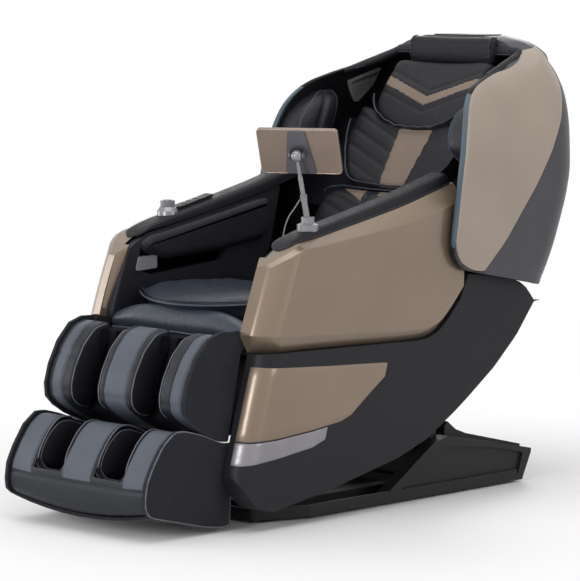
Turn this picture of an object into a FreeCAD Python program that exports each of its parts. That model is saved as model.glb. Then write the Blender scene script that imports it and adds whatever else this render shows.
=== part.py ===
"""A full-body massage chair as separate solids, one file for each piece.

Millimetres, +Z up. The floor is z = 0, the front of the chair is -Y and the sitter's left is +X.
The origin is the centre of the base's footprint on the floor.
"""
import FreeCAD, Part
import math
import os

V = FreeCAD.Vector

# Clearances
SKIN_GAP = 0.3          # soft or trim piece to the piece that carries it
RUNNING_GAP = 0.05      # radial, shaft in bore
SIDE_GAP = 1.5          # plate to plate at a pivot

# Base
BASE_HALF = 290.0
BASE_FRONT = -520.0
BASE_REAR = 488.0
STRIP_THICK = 6.0
STRIP_WIDE = 44.0
STRIP_HALF = 235.0
PLATE_TOP = 36.0
RIB_THICK = 38.0
HUMP_TOP = 188.0
WHEEL_R = 30.0
WHEEL_WIDE = 22.0
WHEEL_X = 215.0
AXLE_R = 5.0

# Pivots, as (y, z)
TILT_PIVOT = (120.0, 165.0)
BACK_PIVOT = (20.0, 470.0)
LEG_PIVOT = (-600.0, 470.0)
TILT_SHAFT_R = 14.0
BACK_SHAFT_R = 12.0
LEG_PIN_R = 8.0
PIVOT_EYE_R = 28.0

# Seat frame
PLATE_IN = 246.0
PLATE_THICK = 5.0
TUBE_R = 15.0
PAN_TOP = 436.0
PAN_THICK = 6.0

# Seat and arms
SEAT_HALF = 232.0
SEAT_TOP = 556.0
SEAT_FRONT = -575.0
SEAT_SWEEP = 88.0       # how far the lip's ends lie behind its middle
SEAT_REAR = -8.0
SEAT_CROWN = 22.0
APRON_HALF = 241.0
APRON_FRONT = -562.0
SIDE_IN = 268.0         # inner face of the lower side shells
SIDE_OUT = 336.0
ARM_IN = 262.0
ARM_OUT = 345.0
ARM_WALL = 7.0
ARM_REAR = 150.0
PAD_IN = 236.0
LINING_THICK = 20.0
TRIM_THICK = 8.0

# Hood
HOOD_HALF = 372.0
HOOD_WALL = 20.0
PANEL_THICK = 6.0
RIM_DEEP = 14.0
RIM_WIDE = 40.0

# Backrest, measured along its own slope
BACK_ORIGIN = (10.0, 520.0)
BACK_LEAN = 35.1        # degrees from the vertical
PAD_THICK = 50.0
LUMBAR_HALF = 222.0
BACK_PAD_HALF = 236.0
HEAD_HALF = 180.0
LINER_TOP_HALF = 205.0    # beside it the speakers look past the liner
RAIL_X = 200.0
RAIL_THICK = 6.0

# Leg rest
LEG_HALF = 262.0
LEG_SIDE_THICK = 9.5
LEG_LEAN = (-0.2, -0.98)
CALF_HALF = LEG_HALF - LEG_SIDE_THICK - SKIN_GAP
WELL_IN = 60.0
WELL_OUT = 165.0
FOOT_ROLLER_R = 12.0
ROLLER_AXLE_R = 4.0

# Tablet and its stand
STAND_XY = (272.0, -360.0)
STAND_R = 28.0
TABLET_SIZE = (210.0, 125.0, 11.0)
TABLET_CENTRE = (268.0, -386.0, 934.0)
TABLET_TURN = 28.0
TABLET_LEAN = 26.0
BALL_R = 15.0
BRACKET_THICK = 4.0
SPIGOT_R = 4.0
CABLE_D = 3.2


# Plane outlines

def area_of(points):
    """Signed area of a closed outline."""
    pairs = zip(points, points[1:] + points[:1])
    return 0.5 * sum(a[0] * b[1] - b[0] * a[1] for a, b in pairs)


def inset(points, distance):
    """The outline with each side moved inwards by the same distance."""
    turn = 1.0 if area_of(points) > 0 else -1.0
    moved = []
    for i, here in enumerate(points):
        before, after = points[i - 1], points[(i + 1) % len(points)]
        d1 = (here[0] - before[0], here[1] - before[1])
        d2 = (after[0] - here[0], after[1] - here[1])
        l1, l2 = math.hypot(*d1), math.hypot(*d2)
        n1 = (-d1[1] / l1 * turn, d1[0] / l1 * turn)
        n2 = (-d2[1] / l2 * turn, d2[0] / l2 * turn)
        share = 1.0 + n1[0] * n2[0] + n1[1] * n2[1]
        moved.append((here[0] + (n1[0] + n2[0]) * distance / share, here[1] + (n1[1] + n2[1]) * distance / share))
    return moved


def outline_wire(points, radius, place):
    """A closed wire with every corner rounded, put in space by place(a, b)."""
    starts, mids, ends = [], [], []
    for i, here in enumerate(points):
        before, after = points[i - 1], points[(i + 1) % len(points)]
        v1 = (before[0] - here[0], before[1] - here[1])
        v2 = (after[0] - here[0], after[1] - here[1])
        l1, l2 = math.hypot(*v1), math.hypot(*v2)
        cosine = (v1[0] * v2[0] + v1[1] * v2[1]) / (l1 * l2)
        half = math.acos(max(-1.0, min(1.0, cosine))) / 2.0
        reach = max(min(radius / math.tan(half), 0.45 * l1, 0.45 * l2), min(0.5, 0.2 * l1, 0.2 * l2))
        u1, u2 = (v1[0] / l1, v1[1] / l1), (v2[0] / l2, v2[1] / l2)
        middle = (u1[0] + u2[0], u1[1] + u2[1])
        size = math.hypot(*middle)
        if size > 0.01:
            real = reach * math.tan(half)
            inward = (real / math.sin(half) - real) / size
        else:
            inward = 0.0
        starts.append((here[0] + u1[0] * reach, here[1] + u1[1] * reach))
        mids.append((here[0] + middle[0] * inward, here[1] + middle[1] * inward))
        ends.append((here[0] + u2[0] * reach, here[1] + u2[1] * reach))
    edges = []
    for i in range(len(points)):
        start, mid, end = place(*starts[i]), place(*mids[i]), place(*ends[i])
        bent = mid.distanceToLine(start, end - start) > 0.002
        edges.append((Part.Arc(start, mid, end) if bent else Part.LineSegment(start, end)).toShape())
        follow = (i + 1) % len(points)
        edges.append(Part.LineSegment(place(*ends[i]), place(*starts[follow])).toShape())
    return Part.Wire(edges)


def sharp_wire(points, place):
    """A closed wire of straight edges."""
    spots = [place(*p) for p in points]
    return Part.makePolygon(spots + spots[:1])


# Solids

def on_x(x):
    """Placer for a (y, z) outline on the plane at this x."""
    return lambda y, z: V(x, y, z)


def on_y(y):
    """Placer for an (x, z) outline on the plane at this y."""
    return lambda x, z: V(x, y, z)


def on_z(z):
    """Placer for an (x, y) outline on the plane at this z."""
    return lambda x, y: V(x, y, z)


def loft(wires):
    """A closed solid ruled through wires with the same number of edges."""
    return Part.makeLoft(wires, True, True)


def prism_x(points, x0, x1, radius=0.0):
    """A (y, z) outline pulled from x0 to x1."""
    wire = outline_wire(points, radius, on_x(x0)) if radius else sharp_wire(points, on_x(x0))
    return Part.Face(wire).extrude(V(x1 - x0, 0, 0))


def prism_z(points, z0, z1, radius=0.0):
    """An (x, y) outline pulled from z0 to z1."""
    wire = outline_wire(points, radius, on_z(z0)) if radius else sharp_wire(points, on_z(z0))
    return Part.Face(wire).extrude(V(0, 0, z1 - z0))


def box(x0, x1, y0, y1, z0, z1):
    """A block between two corners."""
    return Part.makeBox(x1 - x0, y1 - y0, z1 - z0, V(x0, y0, z0))


def bar_x(yz, radius, x0, x1):
    """A round bar along X."""
    return Part.makeCylinder(radius, x1 - x0, V(x0, yz[0], yz[1]), V(1, 0, 0))


def joined(*shapes):
    """One solid from touching or crossing ones."""
    return shapes[0].multiFuse(list(shapes[1:])).removeSplitter()


def apart(*shapes):
    """Separate solids of one piece kept side by side."""
    return Part.makeCompound(list(shapes))


def across(shape):
    """The shape seen in the chair's middle plane."""
    return shape.mirror(V(0, 0, 0), V(1, 0, 0))


def both(shape):
    """The shape and its mirror image as one piece of two solids."""
    return apart(shape, across(shape))


def pillow_x(points, x0, x1, crown, radius):
    """A cushion pulled along X whose ends and faces round off by the crown."""
    wires = []
    steps = (0.0, 30.0, 60.0, 90.0)
    for x_end, way, order in ((x0, 1.0, steps), (x1, -1.0, steps[::-1])):
        for angle in order:
            a = math.radians(angle)
            x = x_end + way * crown * (1.0 - math.cos(a))
            wires.append(outline_wire(inset(points, crown * (1.0 - math.sin(a))), radius, on_x(x)))
    return loft(wires)


def stack_z(rows, corner):
    """A solid through blocks (z, x0, x1, y0, y1) with cut corners, from the bottom up."""
    wires = []
    for z, x0, x1, y0, y1 in rows:
        c = min(corner, 0.3 * (x1 - x0), 0.3 * (y1 - y0))
        ring = [(x0 + c, y0), (x1 - c, y0), (x1, y0 + c), (x1, y1 - c)]
        ring += [(x1 - c, y1), (x0 + c, y1), (x0, y1 - c), (x0, y0 + c)]
        wires.append(sharp_wire(ring, on_z(z)))
    return loft(wires)


def between(table, at):
    """A value read from rows of (key, value), straight between the rows."""
    if at <= table[0][0]:
        return table[0][1]
    for (k0, v0), (k1, v1) in zip(table, table[1:]):
        if at <= k1:
            return v0 + (v1 - v0) * (at - k0) / (k1 - k0)
    return table[-1][1]


PIECES = {}


def keep(name, shape):
    """Files a piece under its node name."""
    PIECES[name] = shape


# The base: floor strips, shell, steel frame, wheels, inlet and switch

def floor_strips():
    rows = (BASE_FRONT + 60.0, 0.0, BASE_REAR - 120.0)
    half = STRIP_WIDE / 2.0
    return apart(*[box(-STRIP_HALF, STRIP_HALF, y - half, y + half, 0.0, STRIP_THICK) for y in rows])


def base_side_outline():
    return [(-122.0, STRIP_THICK), (93.0, 143.0), (153.0, 157.0), (350.0, 118.0),
            (BASE_REAR, 88.0), (BASE_REAR, 78.0), (BASE_REAR - 36.0, STRIP_THICK)]


BASE_GROOVE = [(-48.0, 22.0), (68.0, 106.0), (145.0, 130.0), (327.0, 107.0), (455.0, 80.0), (434.0, 22.0)]


def hump_outline():
    return [(172.0, PLATE_TOP - 2.0), (178.0, 176.0), (190.0, HUMP_TOP), (222.0, 164.0), (262.0, 149.0),
            (350.0, 128.0), (BASE_REAR - 4.0, 96.0), (BASE_REAR - 4.0, 78.0), (BASE_REAR - 40.0, STRIP_THICK)]


WHEEL_AT = (BASE_REAR - 48.0, WHEEL_R + 4.0)
INLET_X = 60.0
ROCKER_X = 125.0
INLET_Z = (30.0, 66.0)


def base_shell():
    nose = 60.0
    plan = [(-BASE_HALF + nose, BASE_FRONT), (BASE_HALF - nose, BASE_FRONT), (BASE_HALF, BASE_FRONT + 150.0),
            (BASE_HALF, BASE_REAR - 40.0), (-BASE_HALF, BASE_REAR - 40.0), (-BASE_HALF, BASE_FRONT + 150.0)]
    plate = prism_z(plan, STRIP_THICK, PLATE_TOP, 25.0)
    plate = plate.cut(prism_z(inset(plan, 10.0), PLATE_TOP - 22.0, PLATE_TOP + 1.0, 18.0))
    rib = prism_x(base_side_outline(), BASE_HALF - RIB_THICK, BASE_HALF)
    groove = prism_x(BASE_GROOVE, BASE_HALF - 8.0, BASE_HALF + 1.0, 8.0)
    rib = rib.cut(groove)
    hump = prism_x(hump_outline(), -BASE_HALF + RIB_THICK - 1.0, BASE_HALF - RIB_THICK + 1.0)
    hollow = prism_x(inset(hump_outline(), 8.0), -BASE_HALF + RIB_THICK + 7.0, BASE_HALF - RIB_THICK - 7.0)
    cheek_half = WHEEL_WIDE / 2.0 + 8.0
    cheek = box(WHEEL_X - cheek_half, WHEEL_X + cheek_half, WHEEL_AT[0] - WHEEL_R - 10.0, BASE_REAR, 0.0, 76.0)
    hollow = hollow.cut(cheek).cut(across(cheek))
    under = box(-190.0, 190.0, 200.0, BASE_REAR - 152.0, -1.0, 50.0)
    shell = joined(plate, rib, across(rib), hump.cut(hollow)).cut(under)
    half = WHEEL_WIDE / 2.0 + 3.0
    pocket = box(WHEEL_X - half, WHEEL_X + half, WHEEL_AT[0] - WHEEL_R - 5.0, BASE_REAR + 5.0, -1.0, 70.0)
    shell = shell.cut(pocket).cut(across(pocket))
    window = box(INLET_X - 26.0, ROCKER_X + 20.0, BASE_REAR - 60.0, BASE_REAR + 5.0, INLET_Z[0], INLET_Z[1])
    return shell.cut(window)


def base_frame():
    rail = box(150.0, 190.0, BASE_FRONT + 70.0, 168.0, PLATE_TOP - 22.0, PLATE_TOP - 2.0)
    tie_rows = (BASE_FRONT + 80.0, -120.0, 130.0)
    ties = [box(-190.0, 190.0, y, y + 30.0, PLATE_TOP - 22.0, PLATE_TOP - 2.0) for y in tie_rows]
    y, z = TILT_PIVOT
    tower_in = 225.0
    foot = box(150.0, tower_in + 8.0, y - 40.0, y + 40.0, PLATE_TOP - 22.0, PLATE_TOP - 2.0)
    outline = [(y - 60.0, PLATE_TOP - 10.0), (y - 24.0, z + 18.0), (y, z + 26.0), (y + 24.0, z + 18.0),
               (y + 42.0, PLATE_TOP - 10.0)]
    tower = prism_x(outline, tower_in, tower_in + 8.0, 12.0)
    shaft = bar_x(TILT_PIVOT, TILT_SHAFT_R, -PLATE_IN - PLATE_THICK - 6.0, PLATE_IN + PLATE_THICK + 6.0)
    return joined(rail, across(rail), foot, across(foot), tower, across(tower), shaft, *ties)


def transport_wheel(x):
    half = WHEEL_WIDE / 2.0
    tread = bar_x(WHEEL_AT, WHEEL_R, x - half, x + half)
    tread = tread.makeChamfer(3.0, [e for e in tread.Edges if abs(e.Length - 2 * math.pi * WHEEL_R) < 1.0])
    for side in (-1.0, 1.0):
        dish = bar_x(WHEEL_AT, WHEEL_R * 0.62, min(0.0, side * 4.0), max(0.0, side * 4.0))
        hub = bar_x(WHEEL_AT, AXLE_R + 4.0, min(0.0, side * 4.0), max(0.0, side * 4.0))
        ring = dish.cut(hub)
        ring.translate(V(x + side * half - (4.0 if side > 0 else -4.0), 0, 0))
        tread = tread.cut(ring)
    return tread.cut(bar_x(WHEEL_AT, AXLE_R + RUNNING_GAP, x - half - 1.0, x + half + 1.0))


def wheel_axles():
    reach = WHEEL_WIDE / 2.0 + 3.0
    return both(bar_x(WHEEL_AT, AXLE_R, WHEEL_X - reach, WHEEL_X + reach))


def power_inlet():
    y_face = BASE_REAR - 13.0
    low, high = INLET_Z[0] + SKIN_GAP, INLET_Z[1] - SKIN_GAP
    block = box(INLET_X - 26.0 + SKIN_GAP, ROCKER_X + 20.0 - SKIN_GAP, y_face - 34.0, y_face, low, high)
    socket = box(INLET_X - 14.0, INLET_X + 14.0, y_face - 18.0, y_face + 1.0, low + 7.0, high - 7.0)
    block = block.cut(socket)
    pins = [box(INLET_X + x - 1.0, INLET_X + x + 1.0, y_face - 19.0, y_face - 4.0, low + z, low + z + 5.0)
            for x, z in ((-8.0, 12.0), (0.0, 18.0), (8.0, 12.0))]
    seat = box(ROCKER_X - 11.0, ROCKER_X + 11.0, y_face - 16.0, y_face + 1.0, low + 3.0, high - 3.0)
    stub = bar_x((y_face - 6.0, sum(INLET_Z) / 2.0), 1.5, ROCKER_X - 11.0, ROCKER_X + 11.0)
    return joined(block.cut(seat), stub, *pins)


def power_rocker():
    y_face = BASE_REAR - 13.0
    middle = sum(INLET_Z) / 2.0
    outline = [(y_face - 13.0, middle - 6.0), (y_face - 4.0, middle - 12.5), (y_face + 4.5, middle - 12.5),
               (y_face + 2.0, middle), (y_face + 4.5, middle + 12.5), (y_face - 4.0, middle + 12.5),
               (y_face - 13.0, middle + 6.0)]
    key = prism_x(outline, ROCKER_X - 10.0, ROCKER_X + 10.0)
    return key.cut(bar_x((y_face - 6.0, middle), 1.5 + RUNNING_GAP, ROCKER_X - 12.0, ROCKER_X + 12.0))


# The seat body: frame, pan, cushion, apron and gear motors

def seat_plate_outline():
    (ty, tz), (by, bz), (ly, lz) = TILT_PIVOT, BACK_PIVOT, LEG_PIVOT
    r = PIVOT_EYE_R - 4.0
    return [(ly - r + 4.0, lz - 12.0), (ly - r + 4.0, lz + 12.0), (ly - 8.0, lz + r), (ly + 12.0, lz + r),
            (-480.0, 470.0), (-420.0, 448.0), (by - 60.0, 452.0), (by - r, bz + r - 4.0), (by, bz + r + 2.0),
            (by + r, bz + r - 8.0), (by + r + 6.0, bz - 6.0), (ty - 8.0, 300.0), (ty + 26.0, 214.0),
            (ty + 26.0, tz - 10.0), (ty + 8.0, tz - 24.0), (ty - 10.0, tz - 24.0), (ty - 26.0, tz - 8.0),
            (ty - 34.0, 214.0), (ty - 90.0, 330.0), (-420.0, 395.0), (-500.0, 400.0), (ly + 30.0, lz - r + 2.0),
            (ly - 8.0, lz - r)]


def seat_frame():
    plate = prism_x(seat_plate_outline(), PLATE_IN, PLATE_IN + PLATE_THICK, 8.0)
    tall = PAN_TOP - PAN_THICK - TUBE_R - SKIN_GAP
    spots = [(-470.0, tall), (-250.0, tall), (-50.0, tall), (60.0, 330.0)]
    reach = PLATE_IN + 1.0
    tubes = [bar_x(p, TUBE_R, -reach, reach).cut(bar_x(p, TUBE_R - 3.0, -reach + 8.0, reach - 8.0)) for p in spots]
    pin = bar_x(LEG_PIVOT, LEG_PIN_R, PLATE_IN + 1.0, LEG_HALF - 0.5)
    stay_outline = [(-300.0, 400.0), (-300.0, 300.0), (-280.0, 280.0), (-120.0, 270.0), (-100.0, 290.0), (-100.0, 390.0)]
    reach_out = SIDE_OUT - TRIM_THICK - 6.0 - SKIN_GAP
    stay = prism_x(stay_outline, PLATE_IN + 1.0, reach_out, 6.0)
    stay = stay.cut(prism_x(inset(stay_outline, 8.0), PLATE_IN, reach_out + 1.0, 4.0))
    frame = joined(plate, across(plate), pin, across(pin), stay, across(stay), *tubes)
    for pivot, radius in ((TILT_PIVOT, TILT_SHAFT_R), (BACK_PIVOT, BACK_SHAFT_R)):
        frame = frame.cut(bar_x(pivot, radius + RUNNING_GAP, -PLATE_IN - 12.0, PLATE_IN + 12.0))
    return frame


def seat_pan():
    low = PAN_TOP - PAN_THICK
    pan = box(-PLATE_IN + SIDE_GAP, PLATE_IN - SIDE_GAP, APRON_FRONT + 14.0, SEAT_REAR - 4.0, low, PAN_TOP)
    holes = [Part.makeCylinder(14.0, 20.0, V(x, y, low - 5.0)) for x in (-140.0, 0.0, 140.0) for y in (-380.0, -160.0)]
    return pan.cut(Part.makeCompound(holes))


def seat_section(x):
    """The seat cushion's (y, z) outline at this x, with its lip swept back at the sides."""
    front = SEAT_FRONT + SEAT_SWEEP * (x / SEAT_HALF) ** 2
    low = PAN_TOP + SKIN_GAP
    return [(front + 62.0, low), (front + 44.0, 500.0), (front + 10.0, SEAT_TOP - 26.0), (front, SEAT_TOP - 12.0),
            (front + 16.0, SEAT_TOP), (-330.0, SEAT_TOP), (-180.0, SEAT_TOP - 8.0), (SEAT_REAR, SEAT_TOP - 30.0),
            (SEAT_REAR, low)]


def seat_cushion():
    low = PAN_TOP + SKIN_GAP
    wires = []

    def add(x, drop):
        shape = [(SEAT_REAR + (y - SEAT_REAR) * (1.0 - drop / 500.0), low + (z - low) * (1.0 - drop / 120.0))
                 for y, z in seat_section(x)]
        wires.append(outline_wire(shape, 9.0, on_x(x)))

    for angle in (0.0, 30.0, 60.0):
        a = math.radians(angle)
        add(-SEAT_HALF + SEAT_CROWN * (1.0 - math.cos(a)), SEAT_CROWN * (1.0 - math.sin(a)))
    for i in range(-4, 5):
        add((SEAT_HALF - SEAT_CROWN) * i / 4.0, 0.0)
    for angle in (60.0, 30.0, 0.0):
        a = math.radians(angle)
        add(SEAT_HALF - SEAT_CROWN * (1.0 - math.cos(a)), SEAT_CROWN * (1.0 - math.sin(a)))
    return loft(wires)


def seat_apron():
    front = APRON_FRONT
    low = PAN_TOP + SKIN_GAP
    outline = [(front + 34.0, low), (front + 12.0, low), (front, 474.0), (front + 1.0, 494.0),
               (front + 8.0, 506.0), (front + 21.0, 506.0), (front + 24.0, 476.0)]
    return pillow_x(outline, -APRON_HALF, APRON_HALF, 3.5, 4.0)


def gear_motor(pivot, x0, x1, gear_r, can_dir, bore_r):
    """A gearbox round a pivot shaft with its motor can standing off it."""
    case = bar_x(pivot, gear_r, x0, x1)
    base = V((x0 + x1) / 2.0, pivot[0], pivot[1])
    way = V(0, can_dir[0], can_dir[1])
    can = Part.makeCylinder((x1 - x0) * 0.46, 120.0, base, way)
    cap = Part.makeCylinder((x1 - x0) * 0.32, 132.0, base, way)
    return joined(case, can, cap).cut(bar_x(pivot, bore_r, x0 - 1.0, x1 + 1.0))


# The side shells, panels and trims of the lower body

SIDE_TOP = [(-560.0, 438.0), (-550.0, 440.3), (-420.0, 438.4), (-20.0, 429.4), (20.0, 432.4), (60.0, 446.4),
            (93.0, 471.4), (150.6, 530.0), (152.0, 592.0), (300.0, 575.0), (414.0, 550.0), (433.0, 529.0)]
SIDE_REAR = [(441.0, 496.0), (370.0, 410.0), (280.0, 332.0), (177.0, 262.0), (120.0, 226.0)]
SIDE_LOW = [(13.0, 166.0), (-94.0, 130.0), (-232.0, 101.0), (-351.0, 76.0), (-468.0, 58.0), (-545.0, 45.0),
            (-600.0, 62.0), (-660.0, 138.0), (-662.0, 160.0)]
SIDE_OUTLINE = SIDE_TOP + SIDE_REAR + SIDE_LOW


def front_edge(z):
    """Where the lower body's leaning front stands at this height."""
    return -573.0 - 0.297 * (430.0 - z)


def side_block(x0, x1, back=0.0, rear=640.0):
    """The space between two x planes with the lower body's leaning, rounded front."""
    low, high = 20.0, 620.0
    bend = min(52.0, (x1 - x0) * 0.75)
    y = front_edge(low) + back
    c = bend * (1.0 - math.sqrt(0.5))
    a, b = V(x1 - bend, y, low), V(x1, y + bend, low)
    arc = Part.Arc(a, V(x1 - c, y + c, low), b).toShape()
    spots = [b, V(x1, rear, low), V(x0, rear, low), V(x0, y, low), a]
    lines = [Part.LineSegment(p, q).toShape() for p, q in zip(spots, spots[1:])]
    lean = V(0, front_edge(high) - front_edge(low), high - low)
    return Part.Face(Part.Wire([arc] + lines)).extrude(lean)


def side_shell():
    reach = SIDE_OUT + 20.0
    outer = side_block(SIDE_IN, SIDE_OUT).common(prism_x(SIDE_OUTLINE, SIDE_IN - 1.0, SIDE_OUT + 1.0))
    room = side_block(SIDE_IN + 6.0, SIDE_OUT - 6.0, 7.0)
    room = room.common(prism_x(inset(SIDE_OUTLINE, 7.0), SIDE_IN, SIDE_OUT))
    deep = TRIM_THICK + 6.0
    backing = prism_x(inset(TRIM_SEAT, -6.0), SIDE_IN - 1.0, reach)
    room = room.cut(backing.cut(side_block(SIDE_IN - 2.0, SIDE_OUT - deep, deep)))
    mouth = prism_x(inset(SIDE_OUTLINE, 7.0), SIDE_IN - 5.0, SIDE_IN + 7.0)
    mouth = mouth.common(box(SIDE_IN - 6.0, SIDE_IN + 8.0, -545.0, 640.0, 0.0, 640.0))
    recess = prism_x(TRIM_SEAT, SIDE_IN - 3.0, reach)
    recess = recess.cut(side_block(SIDE_IN - 4.0, SIDE_OUT - TRIM_THICK, TRIM_THICK))
    return outer.cut(room).cut(mouth).cut(recess)


PANEL_OUTLINE = [(-640.0, 414.0), (-531.0, 405.0), (-348.0, 394.0), (-138.0, 384.0), (-119.0, 373.0),
                 (-132.0, 356.0), (-221.0, 296.0), (-284.0, 252.0), (-409.0, 237.0), (-531.0, 228.0),
                 (-621.0, 227.0), (-700.0, 233.0)]
TRIM_OUTLINE = [(-700.0, 229.5), (-621.0, 223.5), (-531.0, 224.5), (-409.0, 233.5), (-292.0, 247.0),
                (-347.0, 214.0), (-409.0, 193.0), (-531.0, 178.0), (-640.0, 169.0), (-700.0, 171.0)]
TRIM_SEAT = [(-720.0, 418.0), (-531.0, 408.0), (-348.0, 397.0), (-134.0, 387.0), (-114.0, 373.0),
             (-129.0, 354.0), (-219.0, 293.0), (-345.0, 211.0), (-409.0, 190.0), (-531.0, 175.0),
             (-640.0, 166.0), (-720.0, 168.0)]


def trim_layer(outline):
    """A skin of the side's outer surface inside this outline."""
    outer = side_block(SIDE_IN, SIDE_OUT + 1.0, -1.0)
    core = side_block(SIDE_IN - 1.0, SIDE_OUT - TRIM_THICK + SKIN_GAP, TRIM_THICK - SKIN_GAP)
    return outer.cut(core).common(prism_x(outline, SIDE_IN - 1.0, SIDE_OUT + 20.0))


def rear_cover():
    line = [(438.0, 511.0)] + SIDE_REAR[:-1] + [(165.0, 254.0)]
    inner = [(y - 5.0, z + 5.0) for y, z in line]
    outline = [(y - 1.0, z + 1.0) for y, z in line] + inner[::-1]
    wall = prism_x(outline, -SIDE_IN + SKIN_GAP, SIDE_IN - SKIN_GAP)
    slots = [box(-120.0, 120.0, 330.0 + i * 16.0, 337.0 + i * 16.0, 340.0, 480.0) for i in range(5)]
    return wall.cut(Part.makeCompound(slots))


# The arms

ARM_TOP = [(-590.0, 494.0), (-575.0, 532.0), (-550.0, 600.0), (-527.0, 662.0), (-505.0, 690.0), (-480.0, 706.0),
           (-438.0, 709.0), (-370.0, 715.0), (-283.0, 731.0), (-50.0, 777.0), (ARM_REAR, 829.0)]
ARM_LOW = [(-590.0, 478.0), (-575.0, 446.0), (-550.0, 441.0), (-420.0, 439.0), (-20.0, 430.0), (20.0, 433.0),
           (60.0, 447.0), (93.0, 472.0), (ARM_REAR, 530.0)]
ARM_WIDE = [(-590.0, -46.0), (-575.0, -23.0), (-550.0, -6.0), (-527.0, -2.0), (-505.0, 0.0)]
ARM_STEPS = (-590.0, -575.0, -550.0, -527.0, -505.0, -480.0, -438.0, -370.0, -283.0, -160.0, -50.0, -20.0,
             20.0, 60.0, 93.0, ARM_REAR)


def arm_section(y, wall, x_in):
    """The arm's (x, z) outline at this y, drawn in by a wall."""
    low, top = between(ARM_LOW, y) + wall, between(ARM_TOP, y) - wall
    out = ARM_OUT + between(ARM_WIDE, y) - wall
    high = top - low
    wide = out - x_in
    bevel, chamfer = min(32.0, 0.3 * high), min(26.0, 0.25 * high)
    under, slope = min(25.0, 0.3 * wide), min(42.0, 0.5 * wide)
    return [(x_in, low), (out - under, low), (out, low + bevel), (out, top - chamfer), (out - slope, top), (x_in, top)]


def arm_shell():
    outer = loft([sharp_wire(arm_section(y, 0.0, ARM_IN), on_y(y)) for y in ARM_STEPS])
    inner_steps = [-560.0] + [y for y in ARM_STEPS if -560.0 < y < ARM_REAR] + [ARM_REAR - ARM_WALL]
    inner = loft([sharp_wire(arm_section(y, ARM_WALL, ARM_IN - 8.0), on_y(y)) for y in inner_steps])
    return outer.cut(inner)


PAD_RISE = [(-488.0, 5.0), (-480.0, 9.0), (-438.0, 15.0), (-370.0, 23.0), (-283.0, 25.0), (-50.0, 31.0),
            (128.0, 33.0), (140.0, 20.0)]


def arm_pad(foot):
    """An arm's top pad with a round hole for the piece that stands at foot."""
    steps = [-488.0, -480.0, -452.0, -438.0, -370.0, -283.0, -160.0, -50.0, 60.0, 128.0, 140.0]
    wires = []
    for y in steps:
        low = between(ARM_TOP, y) + SKIN_GAP
        ends = y in (steps[0], steps[-1])
        high = between(PAD_RISE, y)
        out = ARM_OUT - 43.0 - (8.0 if ends else 0.0)
        x_in = PAD_IN + (6.0 if ends else 0.0)
        ring = [(x_in + 6.0, low), (out - 2.0, low), (out, low + 0.45 * high), (out - 12.0, low + high),
                (x_in + 14.0, low + high), (x_in, low + 0.5 * high)]
        wires.append(sharp_wire(ring, on_y(y)))
    hole = Part.makeCylinder(STAND_R + 1.0, 400.0, V(foot[0], foot[1], 600.0))
    return loft(wires).cut(hole)


def stand_floor():
    """Height at which the round feet on the arms stand."""
    return between(ARM_TOP, STAND_XY[1] + STAND_R) + SKIN_GAP


def stand_deck():
    """Top of the round flange that rises through the left arm's pad."""
    return pad_height(STAND_XY[1]) + 7.0


def lining_outline(drop):
    """The inner face of an arm, from its front edge to its end, down to the seat."""
    rows = [(-480.0, 706.0), (-438.0, 709.0), (-370.0, 715.0), (-283.0, 731.0), (-50.0, 777.0), (60.0, 805.0)]
    front = [(-568.0, 500.0), (-528.0, 610.0), (-505.0, 672.0)]
    top = [(y, z - drop) for y, z in rows]
    return front + top + [(20.0, 640.0), (-15.0, 560.0), (-15.0, 484.0), (-44.0, 453.0), (-418.0, 449.0),
                          (-478.0, 472.0), (-556.0, 490.0)]


TUNNEL = [(-470.0, 600.0), (-455.0, 640.0), (-400.0, 660.0), (-160.0, 690.0), (-140.0, 670.0), (-160.0, 610.0),
          (-420.0, 584.0)]


def arm_airbag():
    lining = prism_x(lining_outline(3.0), ARM_IN - LINING_THICK, ARM_IN - SKIN_GAP, 14.0)
    lining = lining.cut(prism_x(TUNNEL, ARM_IN - LINING_THICK - 5.0, ARM_IN + 5.0, 14.0))
    x0, x1 = ARM_IN - LINING_THICK - 11.0, ARM_IN - LINING_THICK + 12.0
    upper = [(-468.0, 666.0), (-462.0, 690.0), (-280.0, 714.0), (-70.0, 752.0), (-60.0, 726.0), (-270.0, 686.0)]
    lower = [(-500.0, 564.0), (-494.0, 590.0), (-420.0, 580.0), (-170.0, 602.0), (-62.0, 616.0), (-58.0, 590.0),
             (-200.0, 572.0), (-430.0, 554.0)]
    flaps = [pillow_x(line, x0, x1, 6.0, 6.0) for line in (upper, lower)]
    bag = joined(lining, *flaps)
    return bag.cut(hand_block_space())


HAND_BLOCK = (-478.0, -404.0, 602.0, 640.0)


def hand_block_space():
    y0, y1, z0, z1 = HAND_BLOCK
    gap = SKIN_GAP
    return box(ARM_IN - LINING_THICK - 12.0, ARM_IN + 1.0, y0 - gap, y1 + gap, z0 - gap, z1 + gap)


def hand_block():
    y0, y1, z0, z1 = HAND_BLOCK
    outline = [(y0, z0), (y1, z0 + 4.0), (y1, z1), (y0 + 10.0, z1 - 2.0)]
    return prism_x(outline, ARM_IN - LINING_THICK - 4.0, ARM_IN - SKIN_GAP, 5.0)


# The control cluster on the right arm

KNOB_XY = (-STAND_XY[0], -334.0)
STRIP_Y = (-300.0, -180.0)
BUTTON_ROWS = (-272.0, -248.0, -224.0)
BUTTON_R = 5.0
BUTTON_TRAVEL = 1.5


def pad_height(y):
    """Top of an arm pad at this y."""
    return between(ARM_TOP, y) + SKIN_GAP + between(PAD_RISE, y)


def strip_slope():
    """Unit (y, z) direction along the sloping arm top under the button strip."""
    dy = STRIP_Y[1] - STRIP_Y[0]
    dz = pad_height(STRIP_Y[1]) - pad_height(STRIP_Y[0])
    size = math.hypot(dy, dz)
    return (dy / size, dz / size)


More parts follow.
